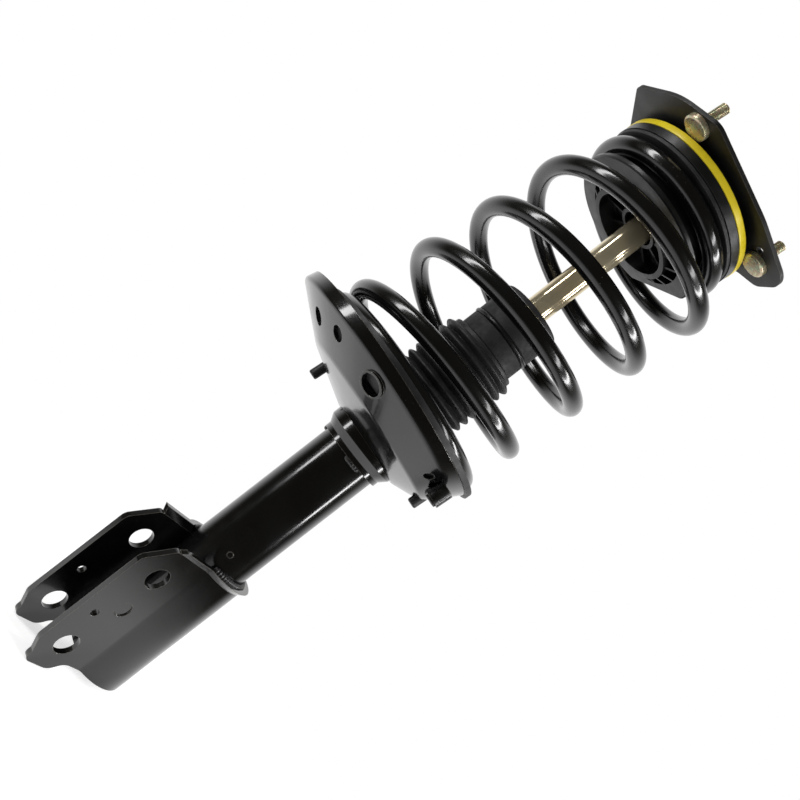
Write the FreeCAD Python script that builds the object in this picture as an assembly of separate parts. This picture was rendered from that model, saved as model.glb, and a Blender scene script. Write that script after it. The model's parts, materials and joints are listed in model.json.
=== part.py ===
import FreeCAD, Part
import math
import os

# A front suspension strut with its coil spring and steering top mount.
# Millimetres. Every piece is built about the strut axis: +Z runs up that axis from the
# foot of the damper tube, +X points at the two knuckle bolts, +Y is along those bolts.
# The last step moves the whole strut so that its origin is the lower knuckle bolt.
# The spring and the top mount stand on axes that lean by CANT towards -X.

Vec = FreeCAD.Vector
X_AXIS, Y_AXIS, Z_AXIS = Vec(1, 0, 0), Vec(0, 1, 0), Vec(0, 0, 1)

# Clearances
RUN_FIT = 0.05          # sliding or turning fit, radial
SEAT_FIT = 0.1          # parts pushed together, radial
SOFT_GAP = 0.3          # rubber, or the spring, beside anything else
FREE_GAP = 0.8          # loose rubber round the tube

# Lean of the spring and of the top mount
CANT = 6.5              # degrees
SPRING_X = 19.3         # the spring axis crosses the level SPRING_Z here
SPRING_Z = 278.0
PIVOT_Z = 512.0         # the top mount's axis meets the strut axis here

# Damper tube and its ends
TUBE_R = 25.0
TUBE_WALL = 2.5
TUBE_LENGTH = 341.0
BASE_CAP_THICK = 4.0
BASE_CAP_RECESS = 2.0
BASE_CAP_DISH = 0.6     # flat middle, as a share of the cap's radius
TUBE_CAP_THICK = 3.0
TUBE_CAP_HOLE_R = 12.5
EDGE_BREAK = 1.0        # small chamfers

# Knuckle bracket
BRACKET_THICK = 4.5
BRACKET_GAP = 35.0      # clear width between its two cheeks
BRACKET_FOOT_Z = -4.0
BRACKET_HEAD_Z = 104.0
BRACKET_EDGE_X = 69.0
BRACKET_HEAD_X = 52.0
BRACKET_SHOULDER = 17.0
BRACKET_BEND_R = 6.0
LIP_HEIGHT = 4.5
LIP_FLARE = 4.0
BOLT_X = 48.5           # lower knuckle bolt
BOLT_Z = 9.5
BOLT_SPACING = 71.0     # from the lower bolt to the upper one
BOLT_LINE_LEAN = 3.3    # degrees, the upper bolt is nearer the tube
BOLT_HOLE_R = 8.5
LOBE_R = 22.5           # metal left round the lower bolt hole
LOBE_FOOT_X = 6.8       # flat foot of the lobe, measured from the lower bolt towards the tube
LOBE_ROOT_X = 14.0      # where the lobe leaves the straight foot
NOSE_X = 14.6           # locating nose, measured from the lower bolt
NOSE_HEIGHT = 7.5
CHEEK_STEP = 4.0        # the front edge starts this far below the lower bolt
CHEEK_CORNERS = (9.0, 5.0, 8.0, 4.0)    # corner radii: lobe, nose, front edge, head
JIG_HOLE_R = 3.0
JIG_HOLE_X = 56.0
JIG_HOLE_Z = 38.7
DIMPLE_R = 6.0
DIMPLE_DEPTH = 1.0
DIMPLE_X = 41.5
DIMPLE_Z = 50.0
TUBE_NIB_R = 2.2
TUBE_NIB_HEIGHT = 0.8
TUBE_NIB_Z = 122.0
TUBE_NIB_AZIMUTH = 50.0

# Cone that carries the lower spring seat
CONE_FOOT_Z = 226.0
CONE_CUFF = 4.0
CONE_HEAD_R = 31.5
CONE_WALL = 2.5
WELD_LEG = 3.0
WELD_FILL = 0.8         # share of its seat that a bead fills
WELD_END_ANGLE = 6.0    # the bracket's bead stops this many degrees short of the cheeks
STITCH_ANGLE = 32.0     # each stitch at the cone's foot runs this far round
STITCH_AZIMUTHS = (38.0, 158.0, 278.0)

# Lower spring seat: a pan on the spring axis, heights from the level of SPRING_Z.
# Its rim stands off the spring axis towards PAN_AZIMUTH, and its floor off the other way.
PAN_AZIMUTH = -48.0
PAN_WALL = 2.5
PAN_NECK_H = -36.0
PAN_NECK_R = 34.0
PAN_FLOOR_H = -27.0
PAN_FLOOR_R = 65.0
PAN_FLOOR_SHIFT = -4.0
PAN_BEND_H = -9.0
PAN_BEND_R = 90.5
PAN_BEND_SHIFT = 12.0
PAN_RIM_H = -0.5
PAN_RIM_R = 92.0
PAN_RIM_SHIFT = 9.5
PAN_BEND_REACH = 2.0    # the curve of a bend starts this far along the wall from it
PAN_BEND_STEPS = 4
PAN_PORT_R = 7.8
PAN_PORT_COLLAR = 1.6
PAN_PORT_AZIMUTH = 33.0
PAN_PORT_H = -16.5
# Plain holes through the pan's wall: azimuth, height and radius
PAN_HOLES = ((-18.0, -18.0, 6.5), (4.5, -16.0, 5.6), (88.0, -16.5, 3.6))

# Lower insulator and its pegs
PAD_TOP_H = -3.8
PAD_FOOT_H = -17.0
PAD_IN_R = 54.0
PAD_LIP_H = 1.0
PAD_EDGE_H = 4.0
PAD_EDGE_THICK = 3.6
PEG_R = 4.0
PEG_ROOT = 2.0          # how far the peg runs up inside the pad
RUBBER_CHAMFER = 1.4
# Pegs: distance from the spring axis, azimuth and height of the tip
PEGS = ((61.0, -87.0, -40.0), (67.5, 128.0, -33.5), (61.0, 215.0, -38.0))

# Line clip on the pan
CLIP_AZIMUTH = 97.0
CLIP_SCREW_AZIMUTH = 107.0
CLIP_H = -17.0
CLIP_WIDTH = 12.0
CLIP_THICK = 1.5
GROMMET_R = 4.5
GROMMET_LENGTH = 14.0
GROMMET_DROP = 1.5      # how far it stands below the clip
SCREW_HEAD_R = 6.0
SCREW_HEAD_HEIGHT = 4.5
SCREW_SHANK_R = 2.5
SCREW_SHANK = 3.8

# Coil spring
WIRE_R = 7.0
COIL_R = 74.5           # mean radius of the open turns
END_COIL_R = 58.5       # mean radius of the drawn-in top turn
END_COIL_SHIFT = 5.6    # the top turn's centre stands this far towards +X
COIL_START_AZIMUTH = -48.0
COIL_FLAT_RISE = 2.0    # rise per turn of the two flat ends
COIL_LOW_FLAT = 0.5     # turns
COIL_LOW_RAMP = 0.5
COIL_OPEN = 3.65
COIL_TOP_RAMP = 0.45
COIL_TOP_FLAT = 0.65
COIL_DRAW_IN = 0.55     # turns over which the top turn draws in
COIL_STATIONS = 4       # joints between the wire's arcs in one turn, at least

# Dust boot and jounce bumper
BOOT_FOOT_Z = 288.0
BOOT_RIBS = 8
BOOT_CREST_R = 33.7
BOOT_ROOT_R = 29.5
# Outline of one rib: share of its height and radius
BOOT_RIB = ((0.05, BOOT_ROOT_R), (0.35, BOOT_CREST_R), (0.65, BOOT_CREST_R), (0.95, BOOT_ROOT_R))
BOOT_TOP_THICK = 3.0
BUMPER_SPIGOT_R = 19.5
BUMPER_R = 26.2
BUMPER_HEIGHT = 47.0
BUMPER_CROWN = 5.5      # rounding of its top edge
BUMPER_GROOVE_R = 24.0
BUMPER_GROOVES = (0.38, 0.72)
BUMPER_RING_R = 1.6

# Damper internals
ROD_R = 10.0
ROD_SPIGOT_R = 7.0
ROD_SHOULDER_Z = 497.0
ROD_TOP_Z = 553.0
ROD_TAIL = 2.0          # thread left below the piston's nut
ROD_CHAMFER = 1.5
CYLINDER_R = 16.0       # bore of the pressure tube
CYLINDER_WALL = 1.5
CYLINDER_FOOT_Z = 14.0
GUIDE_HEIGHT = 18.0
GUIDE_BUSH_WALL = 1.5
SEAL_HEIGHT = 4.0
REBOUND_STOP_R = 14.5
REBOUND_STOP_HEIGHT = 9.0
PISTON_HEIGHT = 16.0
PISTON_DROP = 38.0      # from the guide down to the piston's top face
PISTON_BAND_DEPTH = 0.8
PISTON_BAND_HEIGHT = 9.0
PISTON_SPIGOT_R = 5.0
PISTON_NUT_R = 9.0
PISTON_NUT_HEIGHT = 8.0
PORT_R = 1.6
PORTS = 6
SHIM_R = 11.5
SHIM_THICK = 0.9
BASE_VALVE_HEIGHT = 10.0
BASE_VALVE_FOOT_R = 19.0
BASE_VALVE_PORT_R_AT = 9.6

# Upper spring seat, heights from the pivot along the mount's axis
SEAT_LIP_R = 59.4
SEAT_LIP_H = -27.0
SEAT_LIP_THICK = 3.5
SEAT_LIP_LEFT = 2.3     # lip left outside the drum where it is cut back for the wire
SEAT_LIP_FLAT_AZIMUTH = 163.0
SEAT_DRUM_WALL = 3.0
SEAT_BOSS_R = 37.0
SEAT_BOSS_WALL = 4.0
SEAT_BOSS_H = -33.0
SEAT_WEB_H = -20.0
SEAT_WEB_THICK = 4.0
SEAT_FLANGE_H = 1.7
SEAT_FLANGE_THICK = 2.5
SEAT_FLANGE_R = 64.0
SEAT_SKIRT_TOP_H = 8.3
SEAT_SKIRT_WALL = 2.5
SEAT_RIBS = 20
SEAT_RIB_THICK = 2.0
SEAT_RIB_OVERLAP = 1.0  # how far a rib runs into the walls it joins
SEAT_RIB_DROP = 2.0     # a rib's foot stands this far above the boss's
SEAT_HUB_WALL = 3.0
SEAT_HUB_DROP = 5.0
SEAT_HUB_GAP = 1.8      # between the hub and the rod's sleeve
SPOKES = 10
SPOKE_DROP = 4.0
TOP_PAD_THICK = 3.0
TOP_PAD_SLEEVE = 12.0   # height of the pad's sleeve, inside the wire
TOP_PAD_WALL = 1.2
TOP_PAD_MARGIN = 0.5    # the pad ends this far inside the flange's edge

# Strut bearing
BALL_R = 2.5
BALL_CIRCLE_R = 54.5
BALLS = 28
BALL_H = 8.9
RACE_WIDTH = 9.0
LOW_RACE_TOP_H = 8.4
TOP_RACE_FOOT_H = 9.4
CAGE_THICK = 0.7
CAGE_WIDTH = 7.0
CAP_WEB_H = 12.5
CAP_TOP_H = 14.2
CAP_R = 64.3
CAP_SKIRT_H = 8.7
CAP_SKIRT_WALL = 2.2
CAP_IN_R = 41.0

# Top mount
PLATE_THICK = 3.0
PLATE_H = 19.3          # underside of the outer plate
PLATE_STEP_R = 56.0
PLATE_STEP_SLOPE = 4.0  # width of the sloping step
CUP_R = 36.0
CUP_WALL = 3.0
CUP_FOOT_H = -13.0
CUP_FOOT_HOLE_R = 22.0
BUSH_TOP_H = 13.0
SLEEVE_R = 12.0
SLEEVE_LENGTH = 34.0
BUSH_FLARE = 0.11       # extra bore radius per millimetre from the pivot
WASHER_R = 22.0
WASHER_THICK = 3.0
NUT_ACROSS_FLATS = 21.0
NUT_HEIGHT = 12.0
NUT_FLANGE_R = 13.9
NUT_FLANGE_THICK = 2.0
STUD_R = 4.0
STUD_CIRCLE_R = 71.0
STUD_AZIMUTHS = (15.0, 108.0, -118.5)
STUD_HEAD_R = 9.7
STUD_HEAD_THICK = 4.6
STUD_RISE = 19.5
STUD_CHAMFER = 0.8
STUD_PRESS = 0.3        # the pressed neck stands this far outside the thread
STUD_GROOVE_DEPTH = 0.6
STUD_GROOVE_LENGTH = 1.2
PLATE_HOLE_R = 3.0
PLATE_HOLE_R_AT = 71.7
PLATE_HOLE_AZIMUTH = 97.0
# Corners of the plate: distance from the mount's axis, azimuth and corner radius
PLATE_CORNERS = (
    (85.8, -29.7, 7.0), (83.4, 0.0, 60.0), (84.2, 25.5, 12.0), (75.2, 76.0, 60.0),
    (97.6, 107.4, 16.0), (80.9, 124.9, 12.0), (64.8, 132.2, 8.0), (61.5, 170.0, 40.0),
    (64.0, 205.0, 30.0), (86.0, 228.0, 16.0), (90.0, 250.0, 16.0), (66.0, 297.0, 50.0),
)

# Worked-out heights
GUIDE_FOOT_Z = TUBE_LENGTH - SEAL_HEIGHT - GUIDE_HEIGHT
STRIKER_Z = TUBE_LENGTH + TUBE_CAP_THICK
BUMPER_FOOT_Z = STRIKER_Z
PISTON_TOP_Z = GUIDE_FOOT_Z - PISTON_DROP
SLEEVE_FOOT_Z = ROD_SHOULDER_Z
SLEEVE_TOP_Z = ROD_SHOULDER_Z + SLEEVE_LENGTH
SPRING_SEAT = Vec(SPRING_X, 0, SPRING_Z)
PIVOT = Vec(0, 0, PIVOT_Z)
LEAN = FreeCAD.Rotation(Y_AXIS, -CANT)
ORIGIN = Vec(BOLT_X, 0, BOLT_Z)


def polar(radius, azimuth, height=0.0):
    """Point at a radius and an azimuth in degrees."""
    turn = math.radians(azimuth)
    return Vec(radius * math.cos(turn), radius * math.sin(turn), height)


def on_spring_axis(shape):
    """Move a piece built about Z from its own frame onto the leaning spring axis."""
    moved = shape.copy()
    moved.Placement = FreeCAD.Placement(SPRING_SEAT, LEAN).multiply(moved.Placement)
    return moved


def on_mount_axis(shape):
    """Move a piece built about Z from its own frame onto the leaning mount axis."""
    moved = shape.copy()
    moved.Placement = FreeCAD.Placement(PIVOT, LEAN).multiply(moved.Placement)
    return moved


def turned(points):
    """Solid of revolution about Z from a closed outline of (radius, height) points."""
    outline = [Vec(radius, 0, height) for radius, height in points]
    face = Part.Face(Part.makePolygon(outline + outline[:1]))
    return face.revolve(Vec(0, 0, 0), Z_AXIS, 360)


def ring(inner, outer, low, high):
    """Plain ring between two radii and two heights."""
    return turned([(inner, low), (outer, low), (outer, high), (inner, high)])


def rod_along(start, end, radius):
    """Cylinder from one point to another."""
    run = end - start
    return Part.makeCylinder(radius, run.Length, start, run)


def hexagon(across_flats, height, low):
    """Hexagonal prism about Z."""
    corner = across_flats / math.sqrt(3)
    points = [polar(corner, 60 * side, low) for side in range(7)]
    return Part.Face(Part.makePolygon(points)).extrude(Vec(0, 0, height))


def arc_through(start, middle, end):
    """Edge of the arc through three points."""
    return Part.Arc(start, middle, end).toShape()


def rounded_outline(corners):
    """Closed wire of straight lines and tangent arcs from (point, corner radius) pairs."""
    edges = []
    ends = []
    count = len(corners)
    for index, (point, radius) in enumerate(corners):
        back = (corners[index - 1][0] - point).normalize()
        ahead = (corners[(index + 1) % count][0] - point).normalize()
        half = math.acos(max(-1.0, min(1.0, back * ahead))) / 2
        reach = radius / math.tan(half)
        middle = (back + ahead).normalize()
        near = radius / math.sin(half) - radius
        ends.append((point + back * reach, point + middle * near, point + ahead * reach))
    for index, (start, middle, end) in enumerate(ends):
        if (end - start).Length > 1e-6:
            edges.append(arc_through(start, middle, end))
        following = ends[(index + 1) % count][0]
        edges.append(Part.LineSegment(end, following).toShape())
    return Part.Wire(edges)


def above_pan_neck():
    """Everything above the pan's neck, for trimming what the pan stands on."""
    reach = 4 * PAN_RIM_R
    block = Part.makeBox(reach, reach, reach, Vec(-reach / 2, -reach / 2, PAN_NECK_H))
    return on_spring_axis(block)


# Damper

def make_housing_tube():
    """Outer tube, with the small nib pressed out of its side."""
    tube = ring(TUBE_R - TUBE_WALL, TUBE_R, 0, TUBE_LENGTH)
    start = polar(TUBE_R - TUBE_WALL / 2, TUBE_NIB_AZIMUTH, TUBE_NIB_Z)
    end = polar(TUBE_R + TUBE_NIB_HEIGHT, TUBE_NIB_AZIMUTH, TUBE_NIB_Z)
    return tube.fuse(rod_along(start, end, TUBE_NIB_R)).removeSplitter()


def make_base_cap():
    """Dished cap closing the foot of the tube."""
    low = BASE_CAP_RECESS
    high = low + BASE_CAP_THICK
    rim = TUBE_R - TUBE_WALL
    flat = rim * BASE_CAP_DISH
    return turned([(0, low), (flat, low), (rim, 0), (rim, BASE_CAP_THICK), (flat, high), (0, high)])


def make_tube_cap():
    """Pressed cap over the head of the tube, which the bumper strikes."""
    return turned([
        (TUBE_CAP_HOLE_R, TUBE_LENGTH), (TUBE_R, TUBE_LENGTH), (TUBE_R, STRIKER_Z - EDGE_BREAK),
        (TUBE_R - EDGE_BREAK, STRIKER_Z), (TUBE_CAP_HOLE_R, STRIKER_Z)])


def make_pressure_tube():
    """Inner tube that the piston runs in."""
    return ring(CYLINDER_R, CYLINDER_R + CYLINDER_WALL, CYLINDER_FOOT_Z, GUIDE_FOOT_Z)


def make_base_valve():
    """Foot valve: a plug in the pressure tube that stands on the base cap."""
    top = CYLINDER_FOOT_Z + BASE_VALVE_HEIGHT
    floor = BASE_CAP_RECESS + BASE_CAP_THICK
    body = turned([(0, floor), (BASE_VALVE_FOOT_R, floor), (BASE_VALVE_FOOT_R, CYLINDER_FOOT_Z),
                   (CYLINDER_R - SEAT_FIT, CYLINDER_FOOT_Z), (CYLINDER_R - SEAT_FIT, top), (0, top)])
    for index in range(PORTS):
        centre = polar(BASE_VALVE_PORT_R_AT, 360 * index / PORTS, floor - 1)
        body = body.cut(Part.makeCylinder(PORT_R, top - floor + 2, centre, Z_AXIS))
    return body


def make_rod_guide():
    """Guide that centres the rod and closes both tubes."""
    low = GUIDE_FOOT_Z
    bore = ROD_R + RUN_FIT + GUIDE_BUSH_WALL
    return ring(bore, TUBE_R - TUBE_WALL - SEAT_FIT, low, low + GUIDE_HEIGHT)


def make_guide_bush():
    """Thin bush in the guide that the rod runs in."""
    bore = ROD_R + RUN_FIT
    return ring(bore, bore + GUIDE_BUSH_WALL, GUIDE_FOOT_Z, GUIDE_FOOT_Z + GUIDE_HEIGHT)


def make_rod_seal():
    """Lip seal between the guide and the cap."""
    low = TUBE_LENGTH - SEAL_HEIGHT
    return ring(ROD_R + RUN_FIT, TUBE_R - TUBE_WALL - SEAT_FIT, low, TUBE_LENGTH)


def make_piston_rod():
    """Rod with a spigot at each end: the piston's below and the mount's above."""
    tail = PISTON_TOP_Z - PISTON_HEIGHT - SHIM_THICK - PISTON_NUT_HEIGHT - ROD_TAIL
    return turned([
        (0, tail), (PISTON_SPIGOT_R, tail), (PISTON_SPIGOT_R, PISTON_TOP_Z), (ROD_R, PISTON_TOP_Z),
        (ROD_R, ROD_SHOULDER_Z), (ROD_SPIGOT_R, ROD_SHOULDER_Z), (ROD_SPIGOT_R, ROD_TOP_Z - ROD_CHAMFER),
        (ROD_SPIGOT_R - ROD_CHAMFER, ROD_TOP_Z), (0, ROD_TOP_Z)])


def make_rebound_stop():
    """Collar on the rod that meets the guide at full rebound."""
    high = GUIDE_FOOT_Z - SOFT_GAP
    return ring(ROD_R, REBOUND_STOP_R, high - REBOUND_STOP_HEIGHT, high)


def make_piston():
    """Piston with its ring of ports and the groove for its band."""
    low = PISTON_TOP_Z - PISTON_HEIGHT
    skirt = CYLINDER_R - 2 * RUN_FIT
    groove = CYLINDER_R - RUN_FIT - PISTON_BAND_DEPTH
    middle = low + PISTON_HEIGHT / 2
    band_low = middle - PISTON_BAND_HEIGHT / 2
    band_high = middle + PISTON_BAND_HEIGHT / 2
    body = turned([
        (PISTON_SPIGOT_R, low), (groove, low), (skirt, low + EDGE_BREAK), (skirt, band_low),
        (groove, band_low), (groove, band_high), (skirt, band_high),
        (skirt, PISTON_TOP_Z - EDGE_BREAK), (groove, PISTON_TOP_Z), (PISTON_SPIGOT_R, PISTON_TOP_Z)])
    for index in range(PORTS):
        centre = polar((SHIM_R + groove) / 2, 360 * index / PORTS, low - 1)
        body = body.cut(Part.makeCylinder(PORT_R, PISTON_HEIGHT + 2, centre, Z_AXIS))
    return body


def make_piston_band():
    """Low-friction band round the piston."""
    low = PISTON_TOP_Z - (PISTON_HEIGHT + PISTON_BAND_HEIGHT) / 2
    outer = CYLINDER_R - RUN_FIT
    return ring(outer - PISTON_BAND_DEPTH, outer, low, low + PISTON_BAND_HEIGHT)


def make_valve_shims():
    """Pack of spring discs under the piston."""
    high = PISTON_TOP_Z - PISTON_HEIGHT
    return ring(PISTON_SPIGOT_R, SHIM_R, high - SHIM_THICK, high)


def make_piston_nut():
    """Nut that holds the piston and its discs on the rod."""
    high = PISTON_TOP_Z - PISTON_HEIGHT - SHIM_THICK
    low = high - PISTON_NUT_HEIGHT
    nut = hexagon(PISTON_NUT_R * 2, PISTON_NUT_HEIGHT, low)
    return nut.cut(Part.makeCylinder(PISTON_SPIGOT_R, PISTON_NUT_HEIGHT + 2, Vec(0, 0, low - 1), Z_AXIS))


# Knuckle bracket

def bracket_section(height, flare, edge_x):
    """Closed U outline round the tube at one height; flare pushes it all outwards."""
    inner_r = TUBE_R + flare
    outer_r = TUBE_R + BRACKET_THICK + flare
    inner_y = BRACKET_GAP / 2 + flare
    outer_y = inner_y + BRACKET_THICK
    inner_x = math.sqrt(inner_r ** 2 - inner_y ** 2)
    outer_x = math.sqrt(outer_r ** 2 - outer_y ** 2)
    outer_ends = Vec(outer_x, outer_y, height), Vec(outer_x, -outer_y, height)
    inner_ends = Vec(inner_x, -inner_y, height), Vec(inner_x, inner_y, height)
    lines = [
        (Vec(outer_x, -outer_y, height), Vec(edge_x, -outer_y, height)),
        (Vec(edge_x, -outer_y, height), Vec(edge_x, -inner_y, height)),
        (Vec(edge_x, -inner_y, height), Vec(inner_x, -inner_y, height)),
    ]
    closing = [
        (Vec(inner_x, inner_y, height), Vec(edge_x, inner_y, height)),
        (Vec(edge_x, inner_y, height), Vec(edge_x, outer_y, height)),
        (Vec(edge_x, outer_y, height), Vec(outer_x, outer_y, height)),
    ]
    edges = [arc_through(outer_ends[0], Vec(-outer_r, 0, height), outer_ends[1])]
    edges += [Part.LineSegment(*line).toShape() for line in lines]
    edges += [arc_through(inner_ends[0], Vec(-inner_r, 0, height), inner_ends[1])]
    edges += [Part.LineSegment(*line).toShape() for line in closing]
    return Part.Wire(edges)


def bolt_centres():
    """The two knuckle bolts' centres in the XZ plane."""
    lean = math.radians(BOLT_LINE_LEAN)
    lower = Vec(BOLT_X, 0, BOLT_Z)
    upper = lower + Vec(-math.sin(lean), 0, math.cos(lean)) * BOLT_SPACING
    return lower, upper


def cheek_outline():
    """Side view of the bracket, with its lobe round the lower bolt and its locating nose."""
    lobe_z = BOLT_Z - LOBE_R
    nose_x = BOLT_X + NOSE_X
    back_x = -(TUBE_R + 2 * BRACKET_THICK)
    lobe_corner, nose_corner, edge_corner, head_corner = CHEEK_CORNERS
    corners = [
        (back_x, BRACKET_FOOT_Z, 0.0), (BOLT_X - LOBE_ROOT_X, BRACKET_FOOT_Z, lobe_corner),
        (BOLT_X - LOBE_FOOT_X, lobe_z, lobe_corner), (nose_x, lobe_z, nose_corner),
        (nose_x, lobe_z + NOSE_HEIGHT, 0.0), (BRACKET_EDGE_X, BOLT_Z - CHEEK_STEP, edge_corner),
        (BRACKET_EDGE_X, BRACKET_HEAD_Z - BRACKET_SHOULDER, edge_corner),
        (BRACKET_HEAD_X, BRACKET_HEAD_Z, head_corner), (back_x, BRACKET_HEAD_Z, 0.0),
    ]
    return rounded_outline([(Vec(x, 0, z), radius) for x, z, radius in corners])


def make_knuckle_bracket():
    """U-shaped bracket: two cheeks bored for the knuckle bolts and a back wrapped round the tube."""
    low = BOLT_Z - LOBE_R - BRACKET_THICK
    height = BRACKET_HEAD_Z + BRACKET_THICK - low
    prism = Part.Face(bracket_section(low, 0.0, BRACKET_EDGE_X + BRACKET_THICK)).extrude(Z_AXIS * height)
    outer_r = TUBE_R + BRACKET_THICK
    outer_y = BRACKET_GAP / 2 + BRACKET_THICK
    kink_x = math.sqrt(outer_r ** 2 - outer_y ** 2)
    kinks = [edge for edge in prism.Edges
             if abs(edge.CenterOfMass.x - kink_x) < 0.01 and abs(abs(edge.CenterOfMass.y) - outer_y) < 0.01
             and edge.Length > BRACKET_HEAD_Z]
    prism = prism.makeFillet(BRACKET_BEND_R, kinks)
    reach = TUBE_R + 2 * BRACKET_THICK + LIP_FLARE
    profile = Part.Face(cheek_outline())
    profile.translate(Vec(0, -reach, 0))
    body = prism.common(profile.extrude(Vec(0, 2 * reach, 0)))
    lip_x = BRACKET_HEAD_X - CHEEK_CORNERS[-1] * 0.75
    lip_foot = bracket_section(BRACKET_HEAD_Z, 0.0, lip_x)
    lip_edge = bracket_section(BRACKET_HEAD_Z + LIP_HEIGHT, LIP_FLARE, lip_x)
    body = body.fuse(Part.makeLoft([lip_foot, lip_edge], True, True))
    for centre in bolt_centres():
        body = body.cut(rod_along(centre - Y_AXIS * reach, centre + Y_AXIS * reach, BOLT_HOLE_R))
    jig = Vec(JIG_HOLE_X, 0, JIG_HOLE_Z)
    body = body.cut(rod_along(jig - Y_AXIS * reach, jig + Y_AXIS * reach, JIG_HOLE_R))
    for side in (-1, 1):
        face_y = side * (BRACKET_GAP / 2 + BRACKET_THICK)
        start = Vec(DIMPLE_X, face_y - side * DIMPLE_DEPTH, DIMPLE_Z)
        body = body.cut(rod_along(start, Vec(DIMPLE_X, side * reach, DIMPLE_Z), DIMPLE_R))
    return body.removeSplitter()


def make_bracket_weld():
    """Weld bead in the flared mouth of the bracket."""
    foot = Vec(TUBE_R, 0, BRACKET_HEAD_Z + SEAT_FIT)
    brow = Vec(TUBE_R + LIP_FLARE * WELD_FILL, 0, BRACKET_HEAD_Z + LIP_HEIGHT)
    crown = Vec(TUBE_R, 0, BRACKET_HEAD_Z + LIP_HEIGHT + WELD_LEG)
    bead = Part.Face(Part.makePolygon([foot, brow, crown, foot]))
    open_half = math.degrees(math.asin(BRACKET_GAP / 2 / TUBE_R)) + WELD_END_ANGLE
    bead.rotate(Vec(0, 0, 0), Z_AXIS, open_half)
    return bead.revolve(Vec(0, 0, 0), Z_AXIS, 360 - 2 * open_half)


# Lower spring seat

def make_support_cone():
    """Pressed cone, welded to the tube, that the pan stands on."""
    foot_r = TUBE_R + CONE_WALL
    reach = SPRING_Z
    blank = turned([(TUBE_R, CONE_FOOT_Z), (foot_r, CONE_FOOT_Z), (foot_r, CONE_FOOT_Z + CONE_CUFF),
                    (CONE_HEAD_R, cone_head_z()), (CONE_HEAD_R, reach),
                    (CONE_HEAD_R - CONE_WALL, reach), (CONE_HEAD_R - CONE_WALL, cone_head_z()),
                    (TUBE_R, CONE_FOOT_Z + CONE_CUFF)])
    return blank.cut(above_pan_neck())


def cone_head_z():
    """Height at which the cone reaches its full width, just under the pan's low side."""
    lean = math.radians(CANT)
    centre = SPRING_Z + PAN_NECK_H / math.cos(lean) - SPRING_X * math.tan(lean)
    return centre - CONE_HEAD_R * math.tan(lean)


def make_cone_weld():
    """Short stitches of weld at the foot of the cone, one solid each."""
    high = CONE_FOOT_Z
    corners = [Vec(TUBE_R, 0, high - WELD_LEG), Vec(TUBE_R + WELD_LEG * WELD_FILL, 0, high),
               Vec(TUBE_R, 0, high)]
    section = Part.Face(Part.makePolygon(corners + corners[:1]))
    stitches = []
    for azimuth in STITCH_AZIMUTHS:
        stitch = section.revolve(Vec(0, 0, 0), Z_AXIS, STITCH_ANGLE)
        stitch.rotate(Vec(0, 0, 0), Z_AXIS, azimuth)
        stitches.append(stitch)
    return Part.makeCompound(stitches)


def neck_offset():
    """How far the strut axis stands off the spring axis at the height of the pan's neck."""
    lean = math.radians(CANT)
    return (PAN_NECK_H * math.sin(lean) - SPRING_X) / math.cos(lean)


def mix(first, second, share):
    """Level part of the way from one level to another."""
    return tuple(a + (b - a) * share for a, b in zip(first, second))


def pan_corners():
    """Circles at the corners of the pan's outside: height, radius and the centre's x and y."""
    corners = [(PAN_NECK_H, PAN_NECK_R, neck_offset(), 0.0)]
    for height, radius, shift in ((PAN_FLOOR_H, PAN_FLOOR_R, PAN_FLOOR_SHIFT),
                                  (PAN_BEND_H, PAN_BEND_R, PAN_BEND_SHIFT),
                                  (PAN_RIM_H, PAN_RIM_R, PAN_RIM_SHIFT)):
        centre = polar(shift, PAN_AZIMUTH)
        corners.append((height, radius, centre.x, centre.y))
    return corners


def pan_levels(corners):
    """Circles of the pan from neck to rim, with a curve in place of each bend."""
    levels = corners[:1]
    for before, corner, after in zip(corners, corners[1:], corners[2:]):
        first = mix(corner, before, PAN_BEND_REACH / math.dist(corner[:2], before[:2]))
        last = mix(corner, after, PAN_BEND_REACH / math.dist(corner[:2], after[:2]))
        for step in range(PAN_BEND_STEPS + 1):
            share = step / PAN_BEND_STEPS
            levels.append(mix(mix(first, corner, share), mix(corner, last, share), share))
    return levels + corners[-1:]


def wall_normal(low, high):
    """Direction into the pan, square to the wall between two corners: height and radius."""
    length = math.dist(low[:2], high[:2])
    return (high[1] - low[1]) / length, (low[0] - high[0]) / length


def inset_corners(inset, above):
    """Corners of the pan moved in square to its walls by inset, the rim raised by above."""
    corners = pan_corners()
    normals = [wall_normal(low, high) for low, high in zip(corners, corners[1:])]
    up, out = normals[0]
    height, radius, x, y = corners[0]
    moved = [(height + inset * up, radius + inset * out, x, y)]
    for corner, first, second in zip(corners[1:], normals, normals[1:]):
        size = inset / (1 + first[0] * second[0] + first[1] * second[1])
        height, radius, x, y = corner
        moved.append((height + size * (first[0] + second[0]), radius + size * (first[1] + second[1]), x, y))
    low, high = corners[-2:]
    up, out = normals[-1]
    top = PAN_RIM_H + above
    height, radius, x, y = mix(low, high, (top - inset * up - low[0]) / (high[0] - low[0]))
    return moved + [(top, radius + inset * out, x, y)]


def pan_wall_r(azimuth, height):
    """Distance from the spring axis to the pan's outside at an azimuth and a height."""
    levels = pan_levels(pan_corners())
    for low, high in zip(levels, levels[1:]):
        if height <= high[0]:
            break
    level, radius, x, y = mix(low, high, (height - low[0]) / (high[0] - low[0]))
    along = polar(1.0, azimuth)
    off = x * along.x + y * along.y
    across = x ** 2 + y ** 2 - off ** 2
    return off + math.sqrt(radius ** 2 - across)


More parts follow.
